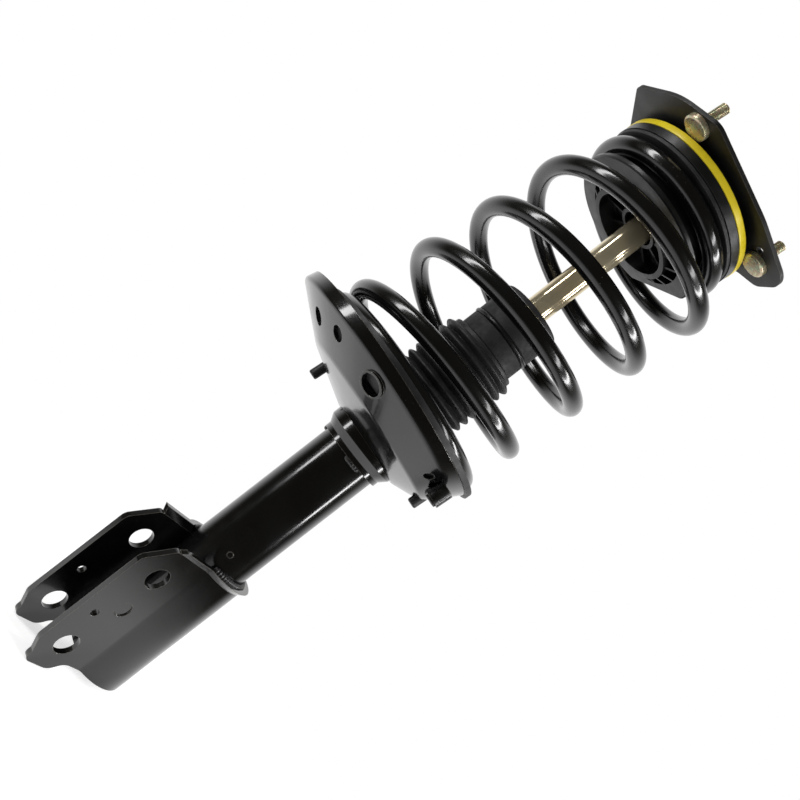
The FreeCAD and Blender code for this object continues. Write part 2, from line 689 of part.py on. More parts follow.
def pan_body(inset, above=0.0):
    """Solid pan shape, drawn in square to its wall by inset, its rim raised by above."""
    circles = []
    for height, radius, x, y in pan_levels(inset_corners(inset, above)):
        circles.append(Part.Wire(Part.makeCircle(radius, Vec(x, y, height), Z_AXIS)))
    return Part.makeLoft(circles, True, True)


def wall_frame(azimuth, height):
    """Point on the pan's outside and the direction square out of it there."""
    wall = pan_wall_r(azimuth, height)
    spread = pan_wall_r(azimuth, height + 1) - wall
    slope = math.atan2(spread, 1)
    outward = polar(math.cos(slope), azimuth) + Vec(0, 0, -math.sin(slope))
    return polar(wall, azimuth, height), outward


def wall_drill(azimuth, height, radius, depth=20.0):
    """Drill that passes square through the pan's wall."""
    centre, outward = wall_frame(azimuth, height)
    return rod_along(centre - outward * depth / 2, centre + outward * depth / 2, radius)


def make_lower_spring_seat():
    """Pressed pan with its rim, port, holes and peg holes."""
    outside = pan_body(0.0)
    inside = pan_body(PAN_WALL, 1.0)
    centre, outward = wall_frame(PAN_PORT_AZIMUTH, PAN_PORT_H)
    collar = rod_along(centre - outward * PAN_WALL / 2, centre + outward * PAN_PORT_COLLAR,
                       PAN_PORT_R + PAN_PORT_COLLAR)
    pan = outside.cut(inside).fuse(collar)
    port = (PAN_PORT_AZIMUTH, PAN_PORT_H, PAN_PORT_R)
    screw_hole = (CLIP_SCREW_AZIMUTH, CLIP_H, SCREW_SHANK_R + SEAT_FIT)
    for azimuth, height, radius in (port, screw_hole) + PAN_HOLES:
        pan = pan.cut(wall_drill(azimuth, height, radius))
    for circle_r, azimuth, tip in PEGS:
        foot = polar(circle_r, azimuth, tip)
        reach = PAD_FOOT_H + PEG_ROOT + SEAT_FIT - tip
        pan = pan.cut(Part.makeCylinder(PEG_R + SEAT_FIT, reach, foot, Z_AXIS))
    pan = on_spring_axis(pan)
    return pan.cut(Part.makeCylinder(TUBE_R + SEAT_FIT, TUBE_LENGTH, Vec(0, 0, 0), Z_AXIS)).removeSplitter()


def make_lower_insulator():
    """Rubber pad between the spring and the pan, with pegs through the pan's floor."""
    reach = PAN_RIM_R + PAN_RIM_SHIFT
    groove_in = COIL_R - WIRE_R - 2 * SOFT_GAP
    groove_out = COIL_R + WIRE_R + SOFT_GAP
    edge_out = groove_out + PAD_EDGE_THICK
    blank = turned([
        (PAD_IN_R, PAD_FOOT_H), (reach, PAD_FOOT_H), (reach, PAD_TOP_H), (edge_out, PAD_TOP_H),
        (edge_out, PAD_EDGE_H), (groove_out, PAD_EDGE_H), (groove_out, PAD_TOP_H),
        (groove_in, PAD_TOP_H), (groove_in - EDGE_BREAK, PAD_LIP_H), (PAD_IN_R, PAD_LIP_H)])
    above_rim = Part.makeCylinder(reach, reach, Vec(0, 0, PAN_RIM_H + SEAT_FIT), Z_AXIS)
    pad = blank.common(pan_body(PAN_WALL + SOFT_GAP, 2 * SEAT_FIT)).fuse(blank.common(above_rim))
    for circle_r, azimuth, tip in PEGS:
        root = PAD_FOOT_H + PEG_ROOT
        peg = turned([(0, tip), (PEG_R - RUBBER_CHAMFER, tip), (PEG_R, tip + RUBBER_CHAMFER),
                      (PEG_R, root), (0, root)])
        peg.translate(polar(circle_r, azimuth))
        pad = pad.fuse(peg)
    return on_spring_axis(pad.removeSplitter())


def grommet_centre():
    """Centre line of the grommet, just outside the pan's wall."""
    wall = pan_wall_r(CLIP_AZIMUTH, CLIP_H + CLIP_WIDTH / 2)
    return polar(wall + GROMMET_R, CLIP_AZIMUTH)


def make_line_clip():
    """Strap screwed to the pan's wall, with a hoop round the grommet."""
    seat, outward = wall_frame(CLIP_SCREW_AZIMUTH, CLIP_H)
    pad = rod_along(seat - outward * CLIP_THICK, seat + outward * CLIP_THICK, SCREW_HEAD_R + 1)
    centre = grommet_centre() + Vec(0, 0, CLIP_H)
    hoop = ring(GROMMET_R + SEAT_FIT, GROMMET_R + SEAT_FIT + CLIP_THICK, -CLIP_WIDTH / 2, CLIP_WIDTH / 2)
    hoop.translate(centre)
    run = centre - seat
    clear = SCREW_HEAD_R + SEAT_FIT
    corner = Vec(clear, -CLIP_WIDTH / 2, -CLIP_THICK)
    strap = Part.makeBox(run.Length - clear, CLIP_WIDTH, CLIP_THICK * 2, corner)
    across = outward.cross(run).normalize()
    strap.Placement = FreeCAD.Placement(seat, FreeCAD.Rotation(run, across, outward, "XZY"))
    clip = pad.fuse([hoop, strap])
    clip = clip.cut(wall_drill(CLIP_SCREW_AZIMUTH, CLIP_H, SCREW_SHANK_R + SEAT_FIT))
    half = Z_AXIS * 2 * GROMMET_LENGTH
    hole = rod_along(centre - half, centre + half, GROMMET_R + SEAT_FIT)
    return on_spring_axis(clip.cut(hole).cut(pan_body(0.0)).removeSplitter())


def make_line_grommet():
    """Rubber grommet in the clip."""
    centre = grommet_centre()
    low = CLIP_H - CLIP_WIDTH / 2 - GROMMET_DROP
    high = low + GROMMET_LENGTH
    body = turned([(0, low), (GROMMET_R - RUBBER_CHAMFER, low), (GROMMET_R, low + RUBBER_CHAMFER),
                   (GROMMET_R, high), (0, high)])
    body.translate(centre)
    return on_spring_axis(body.cut(pan_body(-SEAT_FIT)))


def make_clip_screw():
    """Domed screw that holds the clip to the pan."""
    wall, outward = wall_frame(CLIP_SCREW_AZIMUTH, CLIP_H)
    seat = wall + outward * CLIP_THICK
    ball_r = (SCREW_HEAD_R ** 2 + SCREW_HEAD_HEIGHT ** 2) / (2 * SCREW_HEAD_HEIGHT)
    dome = Part.makeSphere(ball_r, Vec(0, 0, SCREW_HEAD_HEIGHT - ball_r))
    dome = dome.common(Part.makeCylinder(SCREW_HEAD_R + 1, SCREW_HEAD_HEIGHT, Vec(0, 0, 0), Z_AXIS))
    screw = dome.fuse(Part.makeCylinder(SCREW_SHANK_R, SCREW_SHANK, Vec(0, 0, -SCREW_SHANK), Z_AXIS))
    screw.Placement = FreeCAD.Placement(seat, FreeCAD.Rotation(Z_AXIS, outward))
    return on_spring_axis(screw)


# Coil spring

def coil_heights():
    """Heights of the wire's centre at its two ends, on the spring axis."""
    low = PAD_TOP_H + SOFT_GAP + WIRE_R
    lean = math.radians(CANT)
    pivot_h = (PIVOT - SPRING_SEAT).dot(Vec(-math.sin(lean), 0, math.cos(lean)))
    high = pivot_h + SEAT_FLANGE_H - TOP_PAD_THICK - SOFT_GAP - WIRE_R
    return low, high


def coil_pitch():
    """Rise per open turn that takes the wire from its low end to its high end."""
    low, high = coil_heights()
    flat = COIL_LOW_FLAT + COIL_TOP_FLAT + (COIL_LOW_RAMP + COIL_TOP_RAMP) / 2
    steep = COIL_OPEN + (COIL_LOW_RAMP + COIL_TOP_RAMP) / 2
    return (high - low - flat * COIL_FLAT_RISE) / steep


def coil_rise(turn):
    """Height of the wire's centre above its low end after a number of turns."""
    pitch = coil_pitch()
    spans = ((COIL_LOW_FLAT, COIL_FLAT_RISE, COIL_FLAT_RISE), (COIL_LOW_RAMP, COIL_FLAT_RISE, pitch),
             (COIL_OPEN, pitch, pitch), (COIL_TOP_RAMP, pitch, COIL_FLAT_RISE),
             (COIL_TOP_FLAT, COIL_FLAT_RISE, COIL_FLAT_RISE))
    height = 0.0
    left = turn
    for length, start, end in spans:
        part = min(left, length)
        height += part * start + (end - start) * part * part / (2 * length)
        left -= part
        if left <= 0:
            break
    return height + left * COIL_FLAT_RISE


def coil_point(turn):
    """Centre of the wire after a number of turns, in the spring's own frame."""
    total = coil_turns()
    begin = total - COIL_TOP_FLAT - COIL_DRAW_IN
    share = max(0.0, min(1.0, (turn - begin) / COIL_DRAW_IN))
    ease = share * share * (3 - 2 * share)
    radius = COIL_R + (END_COIL_R - COIL_R) * ease
    height = coil_heights()[0] + coil_rise(turn)
    return polar(radius, COIL_START_AZIMUTH + 360 * turn, height) + Vec(END_COIL_SHIFT * ease, 0, 0)


def coil_turns():
    """Number of turns in the whole spring."""
    return COIL_LOW_FLAT + COIL_LOW_RAMP + COIL_OPEN + COIL_TOP_RAMP + COIL_TOP_FLAT


def coil_heading(turn):
    """Direction of the wire after a number of turns."""
    step = 1e-4
    return (coil_point(turn + step) - coil_point(turn - step)).normalize()


def tangent_arc(start, corner, end):
    """Arc from start to end that leaves start towards corner and arrives from corner."""
    chord_middle = (start + end) * 0.5
    half = (end - start).Length / 2
    side = (corner - start).Length
    rise = (corner - chord_middle).Length
    return Part.Arc(start, chord_middle + (corner - chord_middle) * (half * (side - half) / rise ** 2), end)


def biarc(start, start_heading, end, end_heading):
    """Two arcs that join two points along two headings."""
    gap = end - start
    both = start_heading + end_heading
    bend = 1 - start_heading.dot(end_heading)
    reach = (-gap.dot(both) + math.sqrt(gap.dot(both) ** 2 + 2 * bend * gap.dot(gap))) / (2 * bend)
    first = start + start_heading * reach
    second = end - end_heading * reach
    middle = (first + second) * 0.5
    return [tangent_arc(start, first, middle), tangent_arc(middle, second, end)]


def coil_stations():
    """Turn counts at the joints of the wire's arcs, evenly spaced."""
    steps = math.ceil(coil_turns() * COIL_STATIONS - 1e-6)
    return [coil_turns() * step / steps for step in range(steps + 1)]


def coil_least_gap():
    """Least clear distance between neighbouring turns of the wire, measured on points."""
    turns = [coil_turns() * step / 600 for step in range(601)]
    points = [coil_point(turn) for turn in turns]
    least = None
    for index, point in enumerate(points):
        for other in range(index + 1, len(points)):
            if turns[other] - turns[index] > 0.4:
                gap = (points[other] - point).Length - 2 * WIRE_R
                least = gap if least is None else min(least, gap)
    return least


def make_coil_spring():
    """One unbroken wire wound on arcs, drawn in at its top turn."""
    stations = coil_stations()
    arcs = []
    for low, high in zip(stations, stations[1:]):
        arcs += biarc(coil_point(low), coil_heading(low), coil_point(high), coil_heading(high))
    edges = [arc.toShape() for arc in arcs]
    tightest = min(edge.Curve.Radius for edge in edges)
    print("spring: pitch %.2f, tightest arc %.1f, least gap between turns %.2f"
          % (coil_pitch(), tightest, coil_least_gap()))
    path = Part.Wire(edges)
    section = Part.Wire(Part.makeCircle(WIRE_R, coil_point(0), coil_heading(0)))
    return on_spring_axis(path.makePipeShell([section], True, False))


# Dust boot and jounce bumper

def make_dust_boot():
    """Ribbed rubber boot round the head of the tube."""
    high = STRIKER_Z
    pitch = (high - BOOT_FOOT_Z) / BOOT_RIBS
    circles = []
    for rib in range(BOOT_RIBS):
        low = BOOT_FOOT_Z + rib * pitch
        for share, radius in BOOT_RIB:
            circle = Part.Circle(Vec(0, 0, low + share * pitch), Z_AXIS, radius)
            circle.XAxis = X_AXIS
            circles.append(Part.Wire(circle.toShape()))
    ribs = Part.makeLoft(circles, True, True)
    margin = BOOT_RIB[0][0] * pitch
    foot = ring(TUBE_R, BOOT_ROOT_R, BOOT_FOOT_Z, BOOT_FOOT_Z + margin)
    head = ring(BUMPER_SPIGOT_R, BOOT_ROOT_R, high - margin, high + BOOT_TOP_THICK)
    body = ribs.fuse([foot, head]).removeSplitter()
    below = Vec(0, 0, BOOT_FOOT_Z - pitch)
    bore = Part.makeCylinder(TUBE_R + FREE_GAP, high + SOFT_GAP - below.z, below, Z_AXIS)
    mouth = Part.makeCylinder(BUMPER_SPIGOT_R + SOFT_GAP, 2 * BOOT_TOP_THICK, Vec(0, 0, high), Z_AXIS)
    return body.cut(bore).cut(mouth)


def make_jounce_bumper():
    """Foam bumper on the rod, with its grooves, standing on the tube's cap."""
    low = BUMPER_FOOT_Z
    shelf = low + BOOT_TOP_THICK + SOFT_GAP
    high = low + BUMPER_HEIGHT
    bore = ROD_R + SOFT_GAP
    blank = turned([
        (bore, low), (BUMPER_SPIGOT_R, low), (BUMPER_SPIGOT_R, shelf), (BUMPER_R, shelf),
        (BUMPER_R, high - BUMPER_CROWN), (BUMPER_R - BUMPER_CROWN / 2, high - BUMPER_CROWN / 5),
        (BUMPER_R - BUMPER_CROWN, high), (bore, high)])
    for share in BUMPER_GROOVES:
        centre_z = low + share * BUMPER_HEIGHT
        blank = blank.cut(Part.makeTorus(BUMPER_GROOVE_R + BUMPER_RING_R, BUMPER_RING_R + SEAT_FIT,
                                         Vec(0, 0, centre_z), Z_AXIS))
    return blank


def make_bumper_ring():
    """Ring that sits in the bumper's lower groove."""
    centre_z = BUMPER_FOOT_Z + BUMPER_GROOVES[0] * BUMPER_HEIGHT
    return Part.makeTorus(BUMPER_GROOVE_R + BUMPER_RING_R, BUMPER_RING_R, Vec(0, 0, centre_z), Z_AXIS)


# Upper spring seat and its bearing

def coil_top_offset():
    """How far the top turn's centre stands off the mount's axis."""
    lean = math.radians(CANT)
    along = (PIVOT - SPRING_SEAT).dot(Vec(math.cos(lean), 0, math.sin(lean)))
    return END_COIL_SHIFT - along


def top_pad_r():
    """Radius of the upper pad's sleeve, which clears the inside of the top turn."""
    return END_COIL_R - WIRE_R - SOFT_GAP - abs(coil_top_offset())


def seat_drum_r():
    """Radius of the upper seat's drum, which fills the pad's sleeve."""
    return top_pad_r() - TOP_PAD_WALL - SEAT_FIT


def make_upper_spring_seat():
    """Moulded seat: lip, drum, ribbed web, boss, and the flange that holds the bearing."""
    web_top = SEAT_WEB_H + SEAT_WEB_THICK
    flange_top = SEAT_FLANGE_H + SEAT_FLANGE_THICK
    lip_top = SEAT_LIP_H + SEAT_LIP_THICK
    drum_r = seat_drum_r()
    drum_in = drum_r - SEAT_DRUM_WALL
    hub_r = SLEEVE_R + SEAT_HUB_GAP
    boss_in = SEAT_BOSS_R - SEAT_BOSS_WALL
    skirt_in = SEAT_FLANGE_R - SEAT_SKIRT_WALL
    seat = turned([
        (hub_r, SEAT_WEB_H), (drum_in, SEAT_WEB_H), (drum_in, SEAT_LIP_H),
        (SEAT_LIP_R - EDGE_BREAK, SEAT_LIP_H), (SEAT_LIP_R, SEAT_LIP_H + EDGE_BREAK),
        (SEAT_LIP_R, lip_top), (drum_r, lip_top),
        (drum_r, SEAT_FLANGE_H), (SEAT_FLANGE_R, SEAT_FLANGE_H), (SEAT_FLANGE_R, SEAT_SKIRT_TOP_H),
        (skirt_in, SEAT_SKIRT_TOP_H), (skirt_in, flange_top), (drum_in, flange_top),
        (drum_in, web_top), (hub_r, web_top)])
    flat_corner = Vec(drum_r + SEAT_LIP_LEFT, -SEAT_LIP_R, SEAT_LIP_H - 1)
    lip_flat = Part.makeBox(SEAT_LIP_R, 2 * SEAT_LIP_R, SEAT_LIP_THICK + 2, flat_corner)
    lip_flat.rotate(Vec(0, 0, 0), Z_AXIS, SEAT_LIP_FLAT_AZIMUTH)
    seat = seat.cut(lip_flat)
    boss = ring(boss_in, SEAT_BOSS_R, SEAT_BOSS_H, web_top)
    hub = ring(hub_r, hub_r + SEAT_HUB_WALL, SEAT_WEB_H - SEAT_HUB_DROP, web_top)
    seat = seat.fuse([boss, hub])
    rib_in = SEAT_BOSS_R - SEAT_RIB_OVERLAP
    rib_out = drum_in + SEAT_RIB_OVERLAP
    rib_outline = [(rib_in, web_top), (rib_in, SEAT_BOSS_H + SEAT_RIB_DROP),
                   (rib_out, SEAT_LIP_H + SEAT_RIB_OVERLAP / 2), (rib_out, web_top)]
    points = [Vec(radius, -SEAT_RIB_THICK / 2, height) for radius, height in rib_outline]
    rib = Part.Face(Part.makePolygon(points + points[:1])).extrude(Vec(0, SEAT_RIB_THICK, 0))
    ribs = []
    for index in range(SEAT_RIBS):
        copy = rib.copy()
        copy.rotate(Vec(0, 0, 0), Z_AXIS, 360 * index / SEAT_RIBS)
        ribs.append(copy)
    spokes = []
    spoke_in = hub_r + SEAT_RIB_OVERLAP
    spoke_length = boss_in + SEAT_RIB_OVERLAP - spoke_in
    for index in range(SPOKES):
        corner = Vec(spoke_in, -SEAT_RIB_THICK / 2, SEAT_WEB_H - SPOKE_DROP)
        spoke = Part.makeBox(spoke_length, SEAT_RIB_THICK, SEAT_WEB_THICK + SPOKE_DROP, corner)
        spoke.rotate(Vec(0, 0, 0), Z_AXIS, 360 * index / SPOKES)
        spokes.append(spoke)
    return on_mount_axis(seat.fuse(ribs + spokes).removeSplitter())


def make_upper_insulator():
    """Rubber pad between the spring's top turn and the upper seat."""
    inner = seat_drum_r() + SEAT_FIT
    outer = SEAT_FLANGE_R - TOP_PAD_MARGIN
    low = SEAT_FLANGE_H - TOP_PAD_THICK
    sleeve_low = SEAT_FLANGE_H - TOP_PAD_SLEEVE
    return on_mount_axis(turned([
        (inner, SEAT_FLANGE_H), (inner, sleeve_low), (top_pad_r(), sleeve_low), (top_pad_r(), low),
        (outer, low), (outer, SEAT_FLANGE_H)]))


def race_groove():
    """Ring-shaped channel that the balls run in."""
    return Part.makeTorus(BALL_CIRCLE_R, BALL_R + RUN_FIT, Vec(0, 0, BALL_H), Z_AXIS)


def make_bearing_lower_race():
    """Race on the upper seat."""
    inner = BALL_CIRCLE_R - RACE_WIDTH / 2
    race = ring(inner, inner + RACE_WIDTH, SEAT_FLANGE_H + SEAT_FLANGE_THICK, LOW_RACE_TOP_H)
    return on_mount_axis(race.cut(race_groove()))


def make_bearing_upper_race():
    """Race under the bearing's cap."""
    inner = BALL_CIRCLE_R - RACE_WIDTH / 2
    race = ring(inner, inner + RACE_WIDTH, TOP_RACE_FOOT_H, CAP_WEB_H)
    return on_mount_axis(race.cut(race_groove()))


def make_bearing_balls():
    """Balls of the strut bearing, one solid each."""
    centres = [polar(BALL_CIRCLE_R, 360 * index / BALLS, BALL_H) for index in range(BALLS)]
    return on_mount_axis(Part.makeCompound([Part.makeSphere(BALL_R, centre) for centre in centres]))


def make_bearing_cage():
    """Thin ring that keeps the balls apart."""
    inner = BALL_CIRCLE_R - CAGE_WIDTH / 2
    cage = ring(inner, inner + CAGE_WIDTH, BALL_H - CAGE_THICK / 2, BALL_H + CAGE_THICK / 2)
    for index in range(BALLS):
        centre = polar(BALL_CIRCLE_R, 360 * index / BALLS, BALL_H - BALL_R)
        cage = cage.cut(Part.makeCylinder(BALL_R + RUN_FIT, 2 * BALL_R, centre, Z_AXIS))
    return on_mount_axis(cage)


def make_bearing_cap():
    """Moulded cap over the bearing, under the mount plate."""
    skirt_in = CAP_R - CAP_SKIRT_WALL
    return on_mount_axis(turned([
        (CAP_IN_R, CAP_WEB_H), (skirt_in, CAP_WEB_H), (skirt_in, CAP_SKIRT_H), (CAP_R, CAP_SKIRT_H),
        (CAP_R, CAP_TOP_H - EDGE_BREAK), (CAP_R - EDGE_BREAK, CAP_TOP_H), (CAP_IN_R, CAP_TOP_H)]))


# Top mount

def make_mount_plate():
    """Pressed plate bolted to the car, with the cup that holds the rubber bush."""
    corners = [(polar(radius, azimuth), corner) for radius, azimuth, corner in PLATE_CORNERS]
    outline = rounded_outline(corners)
    sheet = Part.Face(outline).extrude(Vec(0, 0, PLATE_THICK))
    sheet.translate(Vec(0, 0, PLATE_H))
    low = CAP_TOP_H
    cup_in = CUP_R - CUP_WALL
    cup_floor = CUP_FOOT_H + CUP_WALL
    step_r = PLATE_STEP_R - PLATE_STEP_SLOPE
    step_top = PLATE_H + PLATE_THICK + 1
    pressing = turned([
        (cup_in, PLATE_H + 1), (PLATE_STEP_R, PLATE_H + 1), (PLATE_STEP_R, PLATE_H), (step_r, low),
        (CUP_R, low), (CUP_R, CUP_FOOT_H), (CUP_FOOT_HOLE_R, CUP_FOOT_H),
        (CUP_FOOT_HOLE_R, cup_floor), (cup_in, cup_floor)])
    hollow = turned([
        (0, PLATE_H - 1), (cup_in, PLATE_H - 1), (cup_in, low + PLATE_THICK),
        (step_r - PLATE_STEP_SLOPE, low + PLATE_THICK), (step_r, step_top), (0, step_top)])
    plate = sheet.fuse(pressing).cut(hollow)
    stud_hole_r = STUD_R + STUD_PRESS + SEAT_FIT / 2
    holes = [(STUD_CIRCLE_R, azimuth, stud_hole_r) for azimuth in STUD_AZIMUTHS]
    holes.append((PLATE_HOLE_R_AT, PLATE_HOLE_AZIMUTH, PLATE_HOLE_R))
    for circle_r, azimuth, radius in holes:
        start = polar(circle_r, azimuth, PLATE_H - 1)
        plate = plate.cut(Part.makeCylinder(radius, PLATE_THICK + 2, start, Z_AXIS))
    return on_mount_axis(plate.removeSplitter())


def make_mount_studs():
    """Threaded studs pressed up through the plate, one solid each."""
    studs = []
    low = PLATE_H - STUD_HEAD_THICK
    top = PLATE_H + PLATE_THICK
    tip = top + STUD_RISE
    neck_r = STUD_R + STUD_PRESS
    groove_r = STUD_R - STUD_GROOVE_DEPTH
    for azimuth in STUD_AZIMUTHS:
        stud = turned([
            (0, low), (STUD_HEAD_R - STUD_CHAMFER, low), (STUD_HEAD_R, low + STUD_CHAMFER),
            (STUD_HEAD_R, PLATE_H), (neck_r, PLATE_H), (neck_r, top), (groove_r, top),
            (groove_r, top + STUD_GROOVE_LENGTH), (STUD_R, top + STUD_GROOVE_LENGTH),
            (STUD_R, tip - STUD_CHAMFER), (STUD_R - STUD_CHAMFER, tip), (0, tip)])
        stud.translate(polar(STUD_CIRCLE_R, azimuth))
        studs.append(stud)
    return on_mount_axis(Part.makeCompound(studs))


def make_mount_bush():
    """Rubber bush in the cup; its bore widens both ways from the pivot."""
    low = CUP_FOOT_H + CUP_WALL
    blank = on_mount_axis(ring(SLEEVE_R / 2, CUP_R - CUP_WALL - SEAT_FIT, low, BUSH_TOP_H))
    waist = SLEEVE_R + SOFT_GAP
    half = BUSH_TOP_H + CUP_R
    mouth = waist + half * BUSH_FLARE
    bore = turned([(0, -half), (mouth, -half), (waist, 0), (mouth, half), (0, half)])
    bore.translate(PIVOT)
    return blank.cut(bore)


def make_mount_sleeve():
    """Steel sleeve clamped on the rod's shoulder, inside the bush."""
    return ring(ROD_SPIGOT_R, SLEEVE_R, SLEEVE_FOOT_Z, SLEEVE_TOP_Z)


def make_rod_washer():
    """Washer between the sleeve and the rod's nut."""
    high = SLEEVE_TOP_Z + WASHER_THICK
    return turned([
        (ROD_SPIGOT_R, SLEEVE_TOP_Z), (WASHER_R, SLEEVE_TOP_Z), (WASHER_R, high - EDGE_BREAK),
        (WASHER_R - EDGE_BREAK, high), (ROD_SPIGOT_R, high)])


def make_rod_nut():
    """Flanged lock nut on the rod's thread."""
    low = SLEEVE_TOP_Z + WASHER_THICK
    high = low + NUT_HEIGHT
    nut = hexagon(NUT_ACROSS_FLATS, NUT_HEIGHT, low)
    crown = turned([(0, low), (NUT_ACROSS_FLATS, low), (NUT_ACROSS_FLATS / 2, high), (0, high)])
    flange = Part.makeCylinder(NUT_FLANGE_R, NUT_FLANGE_THICK, Vec(0, 0, low), Z_AXIS)
    nut = nut.common(crown).fuse(flange)
    return nut.cut(Part.makeCylinder(ROD_SPIGOT_R, NUT_HEIGHT + 2, Vec(0, 0, low - 1), Z_AXIS))


PIECES = {
    "housing_tube": make_housing_tube,
    "tube_base_cap": make_base_cap,
    "tube_cap": make_tube_cap,
    "pressure_tube": make_pressure_tube,
    "base_valve": make_base_valve,
    "rod_guide": make_rod_guide,
    "guide_bush": make_guide_bush,
    "rod_seal": make_rod_seal,
    "knuckle_bracket": make_knuckle_bracket,
    "bracket_weld": make_bracket_weld,
    "seat_support_cone": make_support_cone,
    "cone_weld": make_cone_weld,
    "lower_spring_seat": make_lower_spring_seat,
    "lower_insulator": make_lower_insulator,
    "line_clip": make_line_clip,
    "line_grommet": make_line_grommet,
    "clip_screw": make_clip_screw,
    "coil_spring": make_coil_spring,
    "dust_boot": make_dust_boot,
    "jounce_bumper": make_jounce_bumper,
    "bumper_ring": make_bumper_ring,
    "piston_rod": make_piston_rod,
    "rebound_stop": make_rebound_stop,
    "piston": make_piston,
    "piston_band": make_piston_band,
    "valve_shims": make_valve_shims,
    "piston_nut": make_piston_nut,
    "upper_spring_seat": make_upper_spring_seat,
    "upper_insulator": make_upper_insulator,
    "bearing_lower_race": make_bearing_lower_race,
    "mount_sleeve": make_mount_sleeve,
    "rod_washer": make_rod_washer,
    "rod_nut": make_rod_nut,
    "bearing_cage": make_bearing_cage,
    "bearing_balls": make_bearing_balls,
    "bearing_upper_race": make_bearing_upper_race,
    "bearing_cap": make_bearing_cap,
    "mount_plate": make_mount_plate,
    "mount_bush": make_mount_bush,
    "mount_studs": make_mount_studs,
}


def main():
    """Build every piece, move it to the lower knuckle bolt and write it."""
    os.makedirs("parts", exist_ok=True)
    for node, make in PIECES.items():
        shape = make()
        shape.translate(ORIGIN * -1)
        if not shape.isValid() or not shape.Solids:
            print("check", node, shape.isValid(), len(shape.Solids))
        shape.exportStep("parts/%s.step" % node)
        print(node, len(shape.Solids), "%.1f cm3" % (shape.Volume / 1000))


main()
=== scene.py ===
"""Visual model of a front suspension strut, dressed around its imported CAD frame.

Surfaces are worked out in millimetres about one of three axes (the strut's, the spring's and the
top mount's) and are then placed in the row frame in metres.
"""

import json
import logging
import math
from dataclasses import dataclass
from enum import Enum

import bmesh
import bpy
import numpy as np
from mathutils import Matrix, Vector


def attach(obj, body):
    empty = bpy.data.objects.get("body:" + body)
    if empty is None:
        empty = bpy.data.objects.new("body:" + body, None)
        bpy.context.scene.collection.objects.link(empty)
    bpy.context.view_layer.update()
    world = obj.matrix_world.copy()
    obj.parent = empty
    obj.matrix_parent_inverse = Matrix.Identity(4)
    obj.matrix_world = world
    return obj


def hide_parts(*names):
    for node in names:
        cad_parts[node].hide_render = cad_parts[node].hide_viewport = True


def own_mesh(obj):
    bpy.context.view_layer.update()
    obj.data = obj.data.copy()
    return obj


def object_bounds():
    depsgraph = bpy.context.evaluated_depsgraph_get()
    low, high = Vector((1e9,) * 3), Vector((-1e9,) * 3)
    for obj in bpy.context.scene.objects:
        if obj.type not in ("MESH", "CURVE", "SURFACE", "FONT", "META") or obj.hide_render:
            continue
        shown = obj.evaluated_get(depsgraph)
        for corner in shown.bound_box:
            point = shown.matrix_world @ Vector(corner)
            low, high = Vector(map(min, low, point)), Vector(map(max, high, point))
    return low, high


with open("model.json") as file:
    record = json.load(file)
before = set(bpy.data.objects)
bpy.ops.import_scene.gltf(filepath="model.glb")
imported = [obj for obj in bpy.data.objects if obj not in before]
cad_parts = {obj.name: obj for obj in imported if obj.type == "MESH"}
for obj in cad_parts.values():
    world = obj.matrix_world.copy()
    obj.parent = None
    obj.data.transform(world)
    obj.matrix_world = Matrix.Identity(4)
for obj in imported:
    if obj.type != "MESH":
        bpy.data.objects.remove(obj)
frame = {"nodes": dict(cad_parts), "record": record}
CAD_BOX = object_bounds()

Array, Pair, Triple = np.ndarray, tuple[float, float], tuple[float, float, float]
Tree, Node, Socket = bpy.types.NodeTree, bpy.types.Node, bpy.types.NodeSocket

log = logging.getLogger("strut")
MM = 0.001
TAU = 2 * math.pi
CANT = math.radians(6.5)  # lean of the spring and of the top mount
SMOOTH_ANGLE = math.radians(32)
TINY = 1e-9  # guards a division by a length
SMALL = 1e-6  # least tangent, and how near two points are one: mm in outlines, metres in meshes
FLAT_EDGE = 1e-7  # metres, length of an edge that counts as none
CORNER_SHARE = 0.48  # most of an edge that one rounded corner takes


class Axis(Enum):
    """The axes that pieces are worked out about: origin in row-frame mm, and lean towards -X."""

    STRUT = ((-48.5, 0.0, -9.5), 0.0)
    SPRING = ((-29.2, 0.0, 268.5), CANT)
    MOUNT = ((-48.5, 0.0, 502.5), CANT)

    def place(self, points: Array) -> Array:
        """Turn points about the axis into row-frame points.

        Each point is turned about Y by the lean, so that Z tips towards -X, and then moved.

        Args:
            points: Array (..., 3) in mm in the axis's own frame.

        Returns:
            Array of the same shape, in metres, in the row frame.
        """
        origin, lean = self.value
        turn = np.array([[math.cos(lean), 0.0, -math.sin(lean)], [0.0, 1.0, 0.0],
                         [math.sin(lean), 0.0, math.cos(lean)]])
        return (points @ turn.T + np.array(origin)) * MM


def around(columns: int) -> Array:
    """Azimuths in radians of columns that stand evenly round an axis."""
    return np.arange(columns) * TAU / columns


def spot(radius: float, azimuth: float) -> Array:
    """Point at a radius in mm and an azimuth in degrees, at height zero."""
    return radius * np.array([math.cos(math.radians(azimuth)), math.sin(math.radians(azimuth)), 0.0])


def lathe(radius: Array, height: Array, turn: Array) -> Array:
    """Grid of points: x = radius cos(turn), y = radius sin(turn), z = height, with turn in radians."""
    return np.stack([radius * np.cos(turn), radius * np.sin(turn), height + 0 * turn], -1)


def revolve(outline: Array, columns: int) -> Array:
    """Turn an outline of radius and height about Z: a grid with a row for each of its points."""
    return lathe(outline[:, :1], outline[:, 1:], around(columns))


